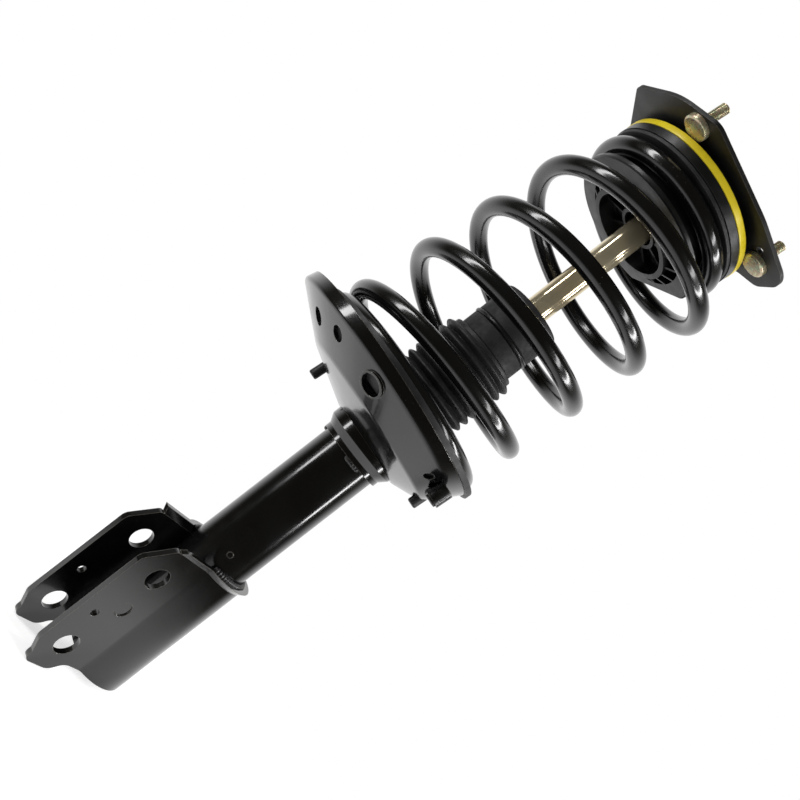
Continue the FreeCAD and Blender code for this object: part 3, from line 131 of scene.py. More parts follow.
def thread(radius: float, depth: float, pitch: float, span: Pair, rows: int, columns: int) -> Array:
    """Grid of a screw thread.

    The thread takes depth * |triangle wave of height / pitch - angle / turn| off the radius, and
    fades over the last millimetre at each end.

    Args:
        radius: Radius of the crests.
        depth: Depth of the roots.
        pitch: Rise in one turn.
        span: Lowest and highest height.
        rows: Number of rows in the grid.
        columns: Number of columns in the grid.

    Returns:
        Grid (rows, columns, 3) of points.
    """
    turn, height = around(columns), np.linspace(*span, rows)[:, None]
    phase = height / pitch - turn / TAU
    fade = np.clip(np.minimum(height - span[0], span[1] - height), 0, 1)
    return lathe(radius - depth * fade * 2 * np.abs(phase - np.round(phase)), height, turn)


def rounded(corners: list[Triple], steps: int = 6, closed: bool = True) -> Array:
    """Round the corners of an outline.

    Between the two tangent points of a corner runs a quadratic Bezier curve whose control point
    is the corner, which for small corners is close to an arc.

    Args:
        corners: Radius, height and corner radius of each corner, in mm.
        steps: Points along each rounded corner, less one.
        closed: Whether the last corner joins the first.

    Returns:
        Array (n, 2) of radius and height.
    """
    data = np.array(corners, float)
    point, size = data[:, :2], data[:, 2].copy()
    if not closed:
        size[[0, -1]] = 0.0
    back, ahead = np.roll(point, 1, 0) - point, np.roll(point, -1, 0) - point
    back_length = np.maximum(np.linalg.norm(back, axis=1), TINY)
    ahead_length = np.maximum(np.linalg.norm(ahead, axis=1), TINY)
    back, ahead = back / back_length[:, None], ahead / ahead_length[:, None]
    half = np.arccos(np.clip((back * ahead).sum(1), -1, 1)) / 2
    longest = CORNER_SHARE * np.minimum(back_length, ahead_length)
    reach = np.minimum(size / np.maximum(np.tan(half), SMALL), longest)
    start, end = point + back * reach[:, None], point + ahead * reach[:, None]
    t = np.linspace(0, 1, steps + 1)[None, :, None]
    curve = (1 - t) ** 2 * start[:, None] + 2 * t * (1 - t) * point[:, None] + t ** 2 * end[:, None]
    flat = curve.reshape(-1, 2)
    keep = np.ones(len(flat), bool)
    keep[1:] = np.linalg.norm(np.diff(flat, axis=0), axis=1) > SMALL
    return flat[keep]


def quads(rows: int, columns: int, loop: bool, start: int) -> Array:
    """Faces of a grid that is closed in its columns, and in its rows too if loop is true.

    Args:
        rows: Number of rows in the grid.
        columns: Number of columns in the grid.
        loop: Whether the last row joins the first.
        start: Number of the grid's first vertex.

    Returns:
        Array (faces, 4) of vertex numbers.
    """
    row = np.arange(rows if loop else rows - 1)[:, None]
    column = np.arange(columns)[None, :]
    beside, above = (column + 1) % columns, (row + 1) % rows
    corners = [row * columns + column, row * columns + beside, above * columns + beside,
               above * columns + column]
    return np.stack([corner.ravel() for corner in corners], 1) + start


@dataclass
class Shell:
    """One closed surface: its grid of points in mm and whether its rows form a loop."""

    grid: Array
    loop: bool = True


def put(name: str, data: bpy.types.ID) -> bpy.types.Object:
    """Add an object with a mesh, a lamp or a camera to the scene."""
    bpy.context.scene.collection.objects.link(thing := bpy.data.objects.new(name, data))
    return thing


# Finishes

WHITE = (1.0, 1.0, 1.0, 1.0)
RGBA = {"data_type": "RGBA"}
TIMES = {"operation": "MULTIPLY"}
DOT = {"operation": "DOT_PRODUCT"}
SMOOTH = {"interpolation_type": "SMOOTHSTEP"}
# Parts of a noise's range that colours, roughness and tints run over
COLOUR_SPAN, ROUGH_SPAN, TINT_SPAN = (0.35, 0.65), (0.3, 0.7), (0.3, 0.7)
ROUGH_SCALE = 0.4  # size of the roughness's noise, as a share of the mottle's
PATCH_SPAN, PATCH_SCALE = (0.58, 0.64), 7  # noise over which a patch of specks begins, size in specks
WEAR_AND_HIGHLIGHT_SPAN = (0.97, 0.8)  # cosine between the softened and the plain normal, from plain to paler edge (painted highlight and wear)
SPECK_STRENGTH, WEAR_AND_HIGHLIGHT_STRENGTH = 0.6, 0.75
RING_DRAW = 20.0  # scale across ground rings, low so that they hardly change round Z


def linear(hex_colour: str) -> tuple[float, ...]:
    """Turn an sRGB hex colour into linear RGBA."""
    channels = [int(hex_colour[i:i + 2], 16) / 255 for i in (1, 3, 5)]
    return tuple(c / 12.92 if c <= 0.04045 else ((c + 0.055) / 1.055) ** 2.4 for c in channels) + (1.0,)


def per(size_mm: float) -> float:
    """Scale of a texture in object coordinates whose features are size_mm across."""
    return 1.0 / (size_mm * MM)


def cleared(owner: bpy.types.Material | bpy.types.World) -> Tree:
    """Give a material or a world an empty node tree.

    Args:
        owner: The material or world.

    Returns:
        Its tree.
    """
    owner.use_nodes = True
    owner.node_tree.nodes.clear()
    return owner.node_tree


def add(tree: Tree, kind: str, settings: dict | None = None, **inputs) -> Node:
    """Add a node.

    Args:
        tree: Node tree to add to.
        kind: Blender's name of the node's type.
        settings: Properties of the node.
        **inputs: Values, output sockets or nodes (for their first output) by input name, with _ for a
            blank, or in0, in1 by number.

    Returns:
        The new node.
    """
    node = tree.nodes.new(kind)
    for key, value in (settings or {}).items():
        setattr(node, key, value)
    for key, value in inputs.items():
        place = int(key[2:]) if key[:2] == "in" and key[2:].isdigit() else key.replace("_", " ")
        if isinstance(value, Node):
            value = value.outputs[0]
        if isinstance(value, Socket):
            tree.links.new(value, node.inputs[place])
        else:
            node.inputs[place].default_value = value
    return node


def ramp(tree: Tree, factor: Node, stops: list[tuple[float, str]]) -> Node:
    """Add a colour ramp.

    Args:
        tree: Node tree to add to.
        factor: Node that drives the ramp.
        stops: Place from 0 to 1 and hex colour of each stop.

    Returns:
        The ramp.
    """
    node = add(tree, "ShaderNodeValToRGB", Fac=factor)
    elements = node.color_ramp.elements
    while len(elements) < len(stops):
        elements.new(0.5)
    for element, (place, colour) in zip(elements, stops):
        element.position = place
        element.color = linear(colour)
    return node


@dataclass(frozen=True)
class Finish:
    """What every finish shares: a mottled colour and roughness, a bump, and perhaps edges and specks.

    Sizes are in mm. Colours run from low to high over noise of mottle_mm. An edge size softens
    edges in the shading, and an edge colour paints them paler: a painted highlight, and wear. Specks are
    round and lie in patches.
    """

    name: str
    low: str
    high: str
    mottle_mm: float = 30.0
    rough: Pair = (0.3, 0.4)
    metallic: float = 0.0
    coat: float = 0.0
    coat_rough: float = 0.05
    ior: float | None = None
    bump_mm: float = 1.5
    depth_mm: float = 0.01
    edge_mm: float = 0.0
    edge_highlight_and_wear_colour: str | None = None
    speck: str | None = None
    speck_mm: float = 2.2
    speck_share: float = 0.12

    def height(self, tree: Tree, where: Socket) -> Node:
        """Height pattern for the bump, from 0 to 1: soft noise of bump_mm."""
        return add(tree, "ShaderNodeTexNoise", Vector=where, Scale=per(self.bump_mm), Detail=3.0,
                   Roughness=0.5)

    def colour(self, tree: Tree, where: Socket) -> Node:
        """Colour of the surface: low to high over noise of mottle_mm."""
        noise = add(tree, "ShaderNodeTexNoise", Vector=where, Scale=per(self.mottle_mm), Detail=4.0)
        return ramp(tree, noise, list(zip(COLOUR_SPAN, (self.low, self.high))))

    def build(self) -> bpy.types.Material:
        """Build the material.

        Returns:
            The node-based material.
        """
        material = bpy.data.materials.new(self.name)
        tree = cleared(material)
        where = add(tree, "ShaderNodeTexCoord").outputs["Object"]
        shade = self.colour(tree, where)
        fine = add(tree, "ShaderNodeTexNoise", Vector=where, Scale=per(self.mottle_mm * ROUGH_SCALE),
                   Detail=5.0)
        rough = add(tree, "ShaderNodeMapRange", Value=fine, in1=ROUGH_SPAN[0], in2=ROUGH_SPAN[1],
                    in3=self.rough[0], in4=self.rough[1])
        if self.speck:
            spots = add(tree, "ShaderNodeTexVoronoi", Vector=where, Scale=per(self.speck_mm), Randomness=1.0)
            near = add(tree, "ShaderNodeMapRange", Value=spots, in1=self.speck_share,
                       in2=self.speck_share * 0.5, in3=0.0, in4=1.0)
            chance = add(tree, "ShaderNodeTexNoise", Vector=where, Scale=per(self.speck_mm * PATCH_SCALE),
                         Detail=0.0)
            some = add(tree, "ShaderNodeMapRange", Value=chance, in1=PATCH_SPAN[0], in2=PATCH_SPAN[1],
                       in3=0.0, in4=SPECK_STRENGTH)
            mask = add(tree, "ShaderNodeMath", TIMES, in0=near, in1=some)
            shade = add(tree, "ShaderNodeMix", RGBA, in0=mask, in6=shade, in7=linear(self.speck)).outputs[2]
        bump = add(tree, "ShaderNodeBump", Height=self.height(tree, where), Strength=1.0,
                   Distance=self.depth_mm * MM)
        if self.edge_mm:
            soft = add(tree, "ShaderNodeBevel", {"samples": 4}, Radius=self.edge_mm * MM).outputs["Normal"]
            tree.links.new(soft, bump.inputs["Normal"])
            # Paler colour laid on edges, where the softened normal turns away from the plain one: a painted
            # highlight on the edges, and wear
            if self.edge_highlight_and_wear_colour:
                plain = add(tree, "ShaderNodeNewGeometry").outputs["Normal"]
                match = add(tree, "ShaderNodeVectorMath", DOT, in0=soft, in1=plain).outputs["Value"]
                wear_and_highlight = add(tree, "ShaderNodeMapRange", Value=match, in1=WEAR_AND_HIGHLIGHT_SPAN[0], in2=WEAR_AND_HIGHLIGHT_SPAN[1],
                           in3=0.0, in4=WEAR_AND_HIGHLIGHT_STRENGTH)
                shade = add(tree, "ShaderNodeMix", RGBA, in0=wear_and_highlight, in6=shade,
                            in7=linear(self.edge_highlight_and_wear_colour)).outputs[2]
        shader = add(tree, "ShaderNodeBsdfPrincipled", Base_Color=shade, Roughness=rough, Normal=bump,
                     Metallic=self.metallic, Coat_Weight=self.coat, Coat_Roughness=self.coat_rough)
        if self.ior is not None:
            shader.inputs["IOR"].default_value = self.ior
        add(tree, "ShaderNodeOutputMaterial", Surface=shader)
        return material


@dataclass(frozen=True)
class GroundMetal(Finish):
    """Metal ground or turned round Z: fine rings, drawn 1 mm apart so that they show."""

    ring_mm: float = 1.0

    def height(self, tree: Tree, where: Socket) -> Node:
        """Rings round Z: noise squeezed along Z to ring_mm and drawn out across it."""
        stretch = add(tree, "ShaderNodeMapping", Vector=where,
                      Scale=(RING_DRAW, RING_DRAW, per(self.ring_mm)))
        return add(tree, "ShaderNodeTexNoise", Vector=stretch, Scale=1.0, Detail=3.0)


@dataclass(frozen=True)
class CellFoam(Finish):
    """Microcellular foam: small open pores, drawn larger than life so that they show."""

    def height(self, tree: Tree, where: Socket) -> Node:
        """Pores: distance to the nearest of random points bump_mm apart."""
        return add(tree, "ShaderNodeTexVoronoi", Vector=where, Scale=per(self.bump_mm))


@dataclass(frozen=True)
class ZincPlate(Finish):
    """Passivated zinc: a metal whose film shifts between several tints."""

    tints: tuple[str, ...] = ("#DAD8B6", "#C6BF92", "#CDB39C", "#BCC7A4", "#E2E2C8")

    def colour(self, tree: Tree, where: Socket) -> Node:
        """Tints in order over noise of mottle_mm."""
        noise = add(tree, "ShaderNodeTexNoise", Vector=where, Scale=per(self.mottle_mm), Detail=3.0,
                    Distortion=0.8)
        return ramp(tree, noise, list(zip(np.linspace(*TINT_SPAN, len(self.tints)).tolist(), self.tints)))


FINISHES: dict[str, Finish] = {
    # Gloss black chassis enamel on pressed steel: orange peel, dust, and paler edges that are a painted
    # highlight and thin paint.
    "paint_black": Finish(
        "gloss_black_enamel", "#090909", "#0F0F10", 45.0, (0.12, 0.2), coat=0.3, coat_rough=0.06, bump_mm=5.0,
        edge_mm=0.7, edge_highlight_and_wear_colour="#8A857C", speck="#4A4844"),
    # The same enamel with less gloss, on the top plate.
    "paint_plate": Finish(
        "satin_black_enamel", "#0A0A0A", "#111112", 40.0, (0.4, 0.52), bump_mm=4.0, depth_mm=0.012,
        edge_mm=0.7, edge_highlight_and_wear_colour="#6E6A62", speck="#4A4844"),
    # Phosphated and oiled steel of the clip and its screw: near black with paler grey edges, a painted
    # highlight and wear.
    "paint_clip": Finish(
        "phosphated_steel", "#0E0E0F", "#1C1C1C", 6.0, (0.22, 0.4), coat=0.2, depth_mm=0.02, edge_mm=0.5,
        edge_highlight_and_wear_colour="#9A958C", speck="#5A5650"),
    # Epoxy powder on spring wire: a little softer than the enamel, with fine nicks.
    "spring_black": Finish(
        "epoxy_spring_coat", "#080808", "#0E0E0F", 35.0, (0.16, 0.24), coat=0.3, coat_rough=0.08, bump_mm=6.0,
        depth_mm=0.008, speck="#6A655C", speck_mm=3.4),
    # Painted weld metal: slightly scaly under the paint.
    "weld_black": Finish(
        "painted_weld", "#121213", "#232120", 5.0, (0.25, 0.45), coat=0.2, bump_mm=1.4, depth_mm=0.06,
        speck="#4B4640"),
    # Hard chrome on a ground rod: bright, with a warm base colour and some plain diffuse colour (metallic
    # below 1) that paint the warm reflection in its middle, and fine rings from grinding.
    "rod_chrome": GroundMetal(
        "hard_chrome", "#DCCBA4", "#ECDFC0", 60.0, (0.08, 0.15), metallic=0.68, depth_mm=0.0003),
    # Turned steel, oiled: mid grey with rings from the tool.
    "steel": GroundMetal(
        "turned_steel", "#8E8F91", "#A7A8AA", 20.0, (0.25, 0.38), metallic=1.0, depth_mm=0.006),
    # Hardened and ground bearing steel: paler and smoother than turned steel.
    "bearing_steel": GroundMetal(
        "ground_bearing_steel", "#B4B6B9", "#C9CBCE", 20.0, (0.1, 0.2), metallic=1.0, depth_mm=0.003),
    # Moulded natural rubber: matt, with pale bloom in soft patches.
    "rubber": Finish(
        "moulded_rubber", "#18181A", "#29292A", 14.0, (0.42, 0.62), bump_mm=1.2, depth_mm=0.03,
        edge_mm=0.4, speck="#4A4A48", speck_mm=2.6),
    # Microcellular urethane of the jounce bumper: dull dark grey with fine pores.
    "foam": CellFoam(
        "microcellular_foam", "#19191B", "#29292B", 9.0, (0.55, 0.75), bump_mm=1.1, depth_mm=0.05),
    # Moulded glass-filled nylon: satin, with faint flow marks and slightly paler edges.
    "plastic_black": Finish(
        "glass_filled_nylon", "#0B0B0C", "#131314", 18.0, (0.28, 0.42), ior=1.52, bump_mm=1.6,
        depth_mm=0.015, edge_mm=0.5, edge_highlight_and_wear_colour="#2C2C2E", speck="#55555A"),
    # Acetal cap, dyed through: bright yellow, slightly waxy, with faint scuffs.
    "plastic_yellow": Finish(
        "yellow_acetal", "#DCC41E", "#EDD62A", 22.0, (0.26, 0.38), ior=1.48, bump_mm=2.5, speck="#B39A10",
        speck_mm=3.2),
    # Yellow-passivated zinc on the studs: pale gold with pink and green.
    "zinc_yellow": ZincPlate(
        "yellow_zinc", "#C8B468", "#B9A257", 5.0, (0.22, 0.38), metallic=0.75, bump_mm=1.2, edge_mm=0.25),
    # Clear-passivated zinc on the nut and the washer: silver with a blue cast.
    "zinc_silver": ZincPlate(
        "clear_zinc", "#B9BCBF", "#A9ADB2", 6.0, (0.24, 0.4), metallic=1.0, bump_mm=1.2, edge_mm=0.25,
        tints=("#B9BCBF", "#A9ADB2", "#C4C2BC", "#AEB4BA", "#BFC1C2")),
    # Moulded fluoro rubber of the rod's seal: matt dark brown.
    "seal_rubber": Finish("seal_rubber", "#201716", "#2C201E", 8.0, (0.4, 0.55), bump_mm=0.9),
    # Sintered bronze bush: brown gold, dulled by its oil.
    "bush_bronze": GroundMetal("sintered_bronze", "#8F6B3A", "#A9824B", 6.0, (0.3, 0.45), metallic=1.0),
    # Filled low-friction plastic of the piston band and the ball cage: matt brown.
    "band_plastic": Finish("filled_plastic", "#4A3223", "#5E412D", 7.0, (0.4, 0.5), bump_mm=1.0),
}

# CAD nodes that look unlike their slot's finish in the photograph
OTHER_FINISH = {"mount_plate": "paint_plate", "line_clip": "paint_clip", "clip_screw": "paint_clip"}


class Paintshop:
    """Builds each finish once, makes pieces in their slot's finish and dresses the CAD nodes."""

    def __init__(self) -> None:
        """Build every material."""
        self.materials = {slot: finish.build() for slot, finish in FINISHES.items()}

    def dress_frame(self) -> None:
        """Give each CAD node the finish of its slot, or the one that OTHER_FINISH names."""
        slots = {part["node"]: part["material_slot"] for part in frame["record"]["subparts"]} | OTHER_FINISH
        for node, piece in frame["nodes"].items():
            piece.data.materials.clear()
            piece.data.materials.append(self.materials[slots[node]])
            log.info("%s: finish %s", node, slots[node])

    def make(self, name: str, shells: list[Shell], axis: Axis, body: str, slot: str,
             *replaces: str) -> bpy.types.Object:
        """Build a piece from closed grids, clean it, dress it and hang it on its body.

        Args:
            name: Name of the piece.
            shells: Its closed surfaces, in the axis's frame. A grid that isn't a loop ends in poles.
            axis: Axis that the grids are worked out about.
            body: CAD body that the piece rides on.
            slot: Material slot of the record.
            *replaces: CAD nodes that it stands for.

        Returns:
            The new object.
        """
        points, faces, start = [], [], 0
        for shell in shells:
            rows, columns = shell.grid.shape[:2]
            points.append(axis.place(shell.grid).reshape(-1, 3))
            faces.append(quads(rows, columns, shell.loop, start))
            start += rows * columns
        mesh = bpy.data.meshes.new(name)
        mesh.from_pydata(np.concatenate(points), [], np.concatenate(faces))
        cleaner = bmesh.new()
        cleaner.from_mesh(mesh)
        bmesh.ops.remove_doubles(cleaner, verts=cleaner.verts, dist=SMALL)
        bmesh.ops.dissolve_degenerate(cleaner, edges=cleaner.edges, dist=FLAT_EDGE)
        bmesh.ops.recalc_face_normals(cleaner, faces=cleaner.faces)
        cleaner.to_mesh(mesh)
        cleaner.free()
        mesh.shade_smooth()
        mesh.set_sharp_from_angle(angle=SMOOTH_ANGLE)
        mesh.materials.append(self.materials[slot])
        piece = put(name, mesh)
        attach(piece, body)
        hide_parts(*replaces)
        log.info("%s: %d faces on %s", name, len(mesh.polygons), body)
        return piece


# Pieces

@dataclass
class Damper:
    """Welds, boot, bumper and rod, about the strut axis. Sizes are in mm, heights from the tube's foot."""

    shop: Paintshop
    tube_r: float = 25.0
    head: float = 344.0
    # Weld beads: out from the tube, height, radius of the section, azimuths of both ends in degrees
    mouth_bead: tuple[float, ...] = (1.3, 108.6, 2.1, 50.5, 309.5)
    stitch_beads: tuple[tuple[float, ...], ...] = (
        (0.7, 225.0, 1.9, 38.0, 70.0), (0.7, 225.0, 1.9, 158.0, 190.0), (0.7, 225.0, 1.9, 278.0, 310.0))
    bead_step: float = 0.4
    bead_columns: int = 24
    bead_end: float = 3.0
    ripple: Triple = (2.4, 0.09, 1.6)  # pitch, share of the section, lag in radians
    boot_foot: float = 288.0
    boot_ribs: int = 8
    rib_rows: int = 22
    boot_crest: float = 33.7
    boot_root: float = 29.5
    boot_power: float = 0.55
    boot_bore: float = 25.8
    boot_top: float = 3.0
    boot_columns: int = 128
    bumper_spigot: float = 19.5
    bumper_r: float = 26.2
    bumper_height: float = 47.0
    bumper_crown: float = 5.5
    bumper_grooves: Pair = (0.38, 0.72)  # shares of its height
    bumper_keep: float = 0.42
    bumper_columns: int = 112
    groove_r: float = 24.0
    groove_half: float = 2.6
    ring_r: float = 1.6
    ring_columns: int = 28
    rod_r: float = 10.0
    rod_foot: float = 219.1
    rod_step: float = 281.0
    rod_shoulder: float = 497.0
    rod_top: float = 553.0
    piston_spigot: float = 5.0
    mount_spigot: float = 7.0
    rod_thread: Pair = (533.0, 551.0)
    rod_depth: float = 0.9
    rod_pitch: float = 1.5
    rod_columns: int = 96

    def bead(self, out: float, height: float, size: float, first: float, last: float) -> Array:
        """Grid of a weld bead round the tube.

        Along the arc the bead's section is a circle whose radius swells and sinks with every
        ripple, with the ripple bent back at its sides, and closes to nothing at each end.

        Args:
            out: Distance of the bead's centre line from the tube's outside.
            height: Height of the centre line.
            size: Radius of the section.
            first: Azimuth of the start, in degrees.
            last: Azimuth of the end, in degrees.

        Returns:
            Grid of points.
        """
        radius = self.tube_r + out
        length = math.radians(last - first) * radius
        along = np.linspace(0, length, int(length / self.bead_step))[:, None]
        turn = around(self.bead_columns)[None, :]
        pitch, share, lag = self.ripple
        ripple = np.sin(TAU * along / pitch + lag * np.cos(turn))
        end = np.minimum(along, length - along)
        close = np.sqrt(np.clip(1 - (1 - end / self.bead_end).clip(0) ** 2, 0, 1))
        section = size * close * (1 + share * ripple)
        return lathe(radius + section * np.cos(turn), height + section * np.sin(turn),
                     math.radians(first) + along / radius)

    def make_welds(self) -> None:
        """Bead in the bracket's mouth and three stitches at the cone's foot."""
        for name, beads, node in (("bracket_weld_bead", (self.mouth_bead,), "bracket_weld"),
                                  ("cone_weld_stitches", self.stitch_beads, "cone_weld")):
            self.shop.make(name, [Shell(self.bead(*bead), False) for bead in beads], Axis.STRUT,
                           "strut_housing", "weld_black", node)

    def make_boot(self) -> None:
        """Ribbed boot.

        Its outside is root + (crest - root) * (half of 1 - cos(share of a rib))^power, so the
        crests are full and the roots narrow. Its inside is a plain bore.
        """
        low, head, top = self.boot_foot, self.head, self.head + self.boot_top
        pitch = (head - low) / self.boot_ribs
        height = np.linspace(low + 0.4, head - 0.2, self.boot_ribs * self.rib_rows)
        wave = 0.5 - 0.5 * np.cos(TAU * (height - low) / pitch)
        root, bore, neck = self.boot_root, self.boot_bore, self.bumper_spigot + 0.3
        radius = root + (self.boot_crest - root) * wave ** self.boot_power
        inside = rounded([(root, head, 0.1), (root, top, 1.2), (neck, top, 0.5), (neck, head + 0.3, 0.2),
                          (bore, head + 0.3, 0.4), (bore, low + 2.0, 0.6), (self.tube_r, low + 1.2, 0.2),
                          (self.tube_r, low, 0.2), (root, low, 0.3)], 4, False)
        grid = revolve(np.concatenate([np.stack([radius, height], 1), inside]), self.boot_columns)
        self.shop.make("ribbed_dust_boot", [Shell(grid)], Axis.STRUT, "strut_housing", "rubber", "dust_boot")

    def make_bumper(self) -> None:
        """Foam bumper with two round grooves, and the ring in the lower one.

        Each groove is a dip in the radius shaped like a cosine, as wide as the ring.
        """
        low = self.head
        shelf, high = low + self.boot_top + 0.4, low + self.bumper_height
        crown = high - self.bumper_crown
        height = np.linspace(shelf + 1.0, crown, 120)
        side, half, spigot, bore = self.bumper_r, self.groove_half, self.bumper_spigot, self.rod_r + 0.3
        radius = np.full_like(height, side)
        for share in self.bumper_grooves:
            off = height - low - share * self.bumper_height
            dip = np.where(np.abs(off) < half, 0.5 + 0.5 * np.cos(np.pi * off / half), 0.0)
            radius -= (side - self.groove_r) * dip
        rest = rounded([(side, crown, 0.1), (side, high - 0.3, 5.0), (bore, high, 1.5), (bore, low, 0.4),
                        (spigot, low, 0.6), (spigot, shelf, 0.4), (side, shelf, 1.0),
                        (side, shelf + 1.0, 0.1)], 6, False)
        grid = revolve(np.concatenate([np.stack([radius, height], 1), rest]), self.bumper_columns)
        bumper = self.shop.make("foam_jounce_bumper", [Shell(grid)], Axis.STRUT, "strut_housing", "foam",
                                "jounce_bumper")
        centre = low + self.bumper_grooves[0] * self.bumper_height
        turn = around(self.ring_columns)
        hoop = revolve(np.stack([self.groove_r + self.ring_r + self.ring_r * np.cos(turn),
                                 centre + self.ring_r * np.sin(turn)], 1), self.bumper_columns)
        ring = self.shop.make("moulded_bumper_ring", [Shell(hoop)], Axis.STRUT, "strut_housing",
                              "plastic_black", "bumper_ring")
        for piece in (bumper, ring):
            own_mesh(piece)

    def make_rod(self) -> None:
        """Chromed rod with a spigot for the piston and a threaded one for the top mount."""
        low, step, shoulder, columns = self.rod_foot, self.rod_step, self.rod_shoulder, self.rod_columns
        radius, spigot = self.rod_r, self.mount_spigot
        rings = [(0.0, low), (self.piston_spigot, low), (self.piston_spigot, step), (radius - 0.6, step),
                 (radius, step + 0.6)]
        rings += [(radius, height) for height in np.linspace(step + 1.0, shoulder - 0.8, 40)]
        rings += [(radius - 0.8, shoulder), (spigot, shoulder), (spigot, self.rod_thread[0])]
        spiral = thread(spigot, self.rod_depth, self.rod_pitch, self.rod_thread, 120, columns)
        tip = np.array([(spigot - 1.5, self.rod_top), (0.0, self.rod_top)])
        grid = np.concatenate([revolve(np.array(rings), columns), spiral, revolve(tip, columns)])
        self.shop.make("chromed_piston_rod", [Shell(grid, False)], Axis.STRUT, "rod", "rod_chrome",
                       "piston_rod")

    def build(self) -> None:
        """Build every piece of the damper."""
        self.make_welds()
        self.make_boot()
        self.make_bumper()
        self.make_rod()


@dataclass
class CoilSpring:
    """The wire, about the spring axis: a helix with flat ends whose top turn draws in. Sizes are in mm."""

    shop: Paintshop
    wire_r: float = 6.9
    coil_r: float = 74.05
    end_r: float = 58.5
    end_shift: float = 5.6
    start_azimuth: float = -48.0
    low: float = 3.5
    flat_rise: float = 2.0
    pitch: float = 53.17
    spans: tuple[float, ...] = (0.5, 0.5, 3.65, 0.45, 0.65)  # turns: flat, ramp, open, ramp, flat
    draw_in: float = 0.55  # turns
    turn_rows: int = 110
    wire_columns: int = 40
    cut_bevel: float = 0.5
    cut_step: float = 0.0005  # turns over which the edge of a cut end is broken
    foot: float = 264.0  # height in the row frame that the spring flattens towards
    stroke: float = 120.0
    half_lean: float = 6.5  # from the top turn's highest point to its mean height

    def height(self, turn: Array) -> Array:
        """Height of the wire's centre.

        The rise per turn is flat_rise on the flat ends, pitch on the open turns and changes
        evenly on the ramps between them; the height is its integral by the trapezium rule.

        Args:
            turn: Turns from the wire's start.

        Returns:
            Height at each.
        """
        knots = np.concatenate([[0.0], np.cumsum(self.spans)])
        flat, steep = self.flat_rise, self.pitch
        fine = np.linspace(0, knots[-1], 4001)
        slope = np.interp(fine, knots, np.array([flat, flat, steep, steep, flat, flat]))
        total = np.concatenate([[0.0], np.cumsum((slope[1:] + slope[:-1]) / 2 * np.diff(fine))])
        return self.low + np.interp(turn, fine, total)

    def centre(self, turn: Array) -> Array:
        """Centre of the wire: a circle whose radius eases to end_r while its middle shifts.

        Args:
            turn: Turns from the wire's start.

        Returns:
            Array (n, 3) of points.
        """
        begin = sum(self.spans) - self.spans[-1] - self.draw_in
        share = np.clip((turn - begin) / self.draw_in, 0, 1)
        ease = share * share * (3 - 2 * share)
        radius = self.coil_r + (self.end_r - self.coil_r) * ease
        azimuth = np.radians(self.start_azimuth) + TAU * turn
        return np.stack([radius * np.cos(azimuth) + self.end_shift * ease, radius * np.sin(azimuth),
                         self.height(turn)], -1)

    def build(self) -> None:
        """Sweep the wire.

        Each section is a circle square to the wire: centre + r * (cos * outward + sin * square
        to both), with outward from the spring axis made square to the wire's heading.
        """
        total, cut, step = sum(self.spans), self.cut_step, 1e-4
        turn = np.linspace(0, total, int(total * self.turn_rows))
        turn = np.concatenate([[0.0, 0.0, cut], turn[1:-1], [total - cut, total, total]])
        radius = np.full(len(turn), self.wire_r)
        radius[[0, -1]] = 0.0
        radius[[1, -2]] = self.wire_r - self.cut_bevel
        centre = self.centre(turn)
        heading = self.centre(turn + step) - self.centre(turn - step)
        heading[:, 2] = np.where(np.abs(heading[:, 2]) < TINY, self.flat_rise * step, heading[:, 2])
        heading /= np.linalg.norm(heading, axis=1)[:, None]
        outward = centre * np.array([1.0, 1.0, 0.0])
        outward -= (outward * heading).sum(1)[:, None] * heading
        outward /= np.linalg.norm(outward, axis=1)[:, None]
        square = np.cross(heading, outward)
        angle = around(self.wire_columns)[None, :, None]
        grid = centre[:, None] + radius[:, None, None] * (np.cos(angle) * outward[:, None]
                                                          + np.sin(angle) * square[:, None])
        piece = self.shop.make("wound_coil_spring", [Shell(grid, False)], Axis.SPRING, "strut_housing",
                               "spring_black", "coil_spring")
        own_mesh(piece)


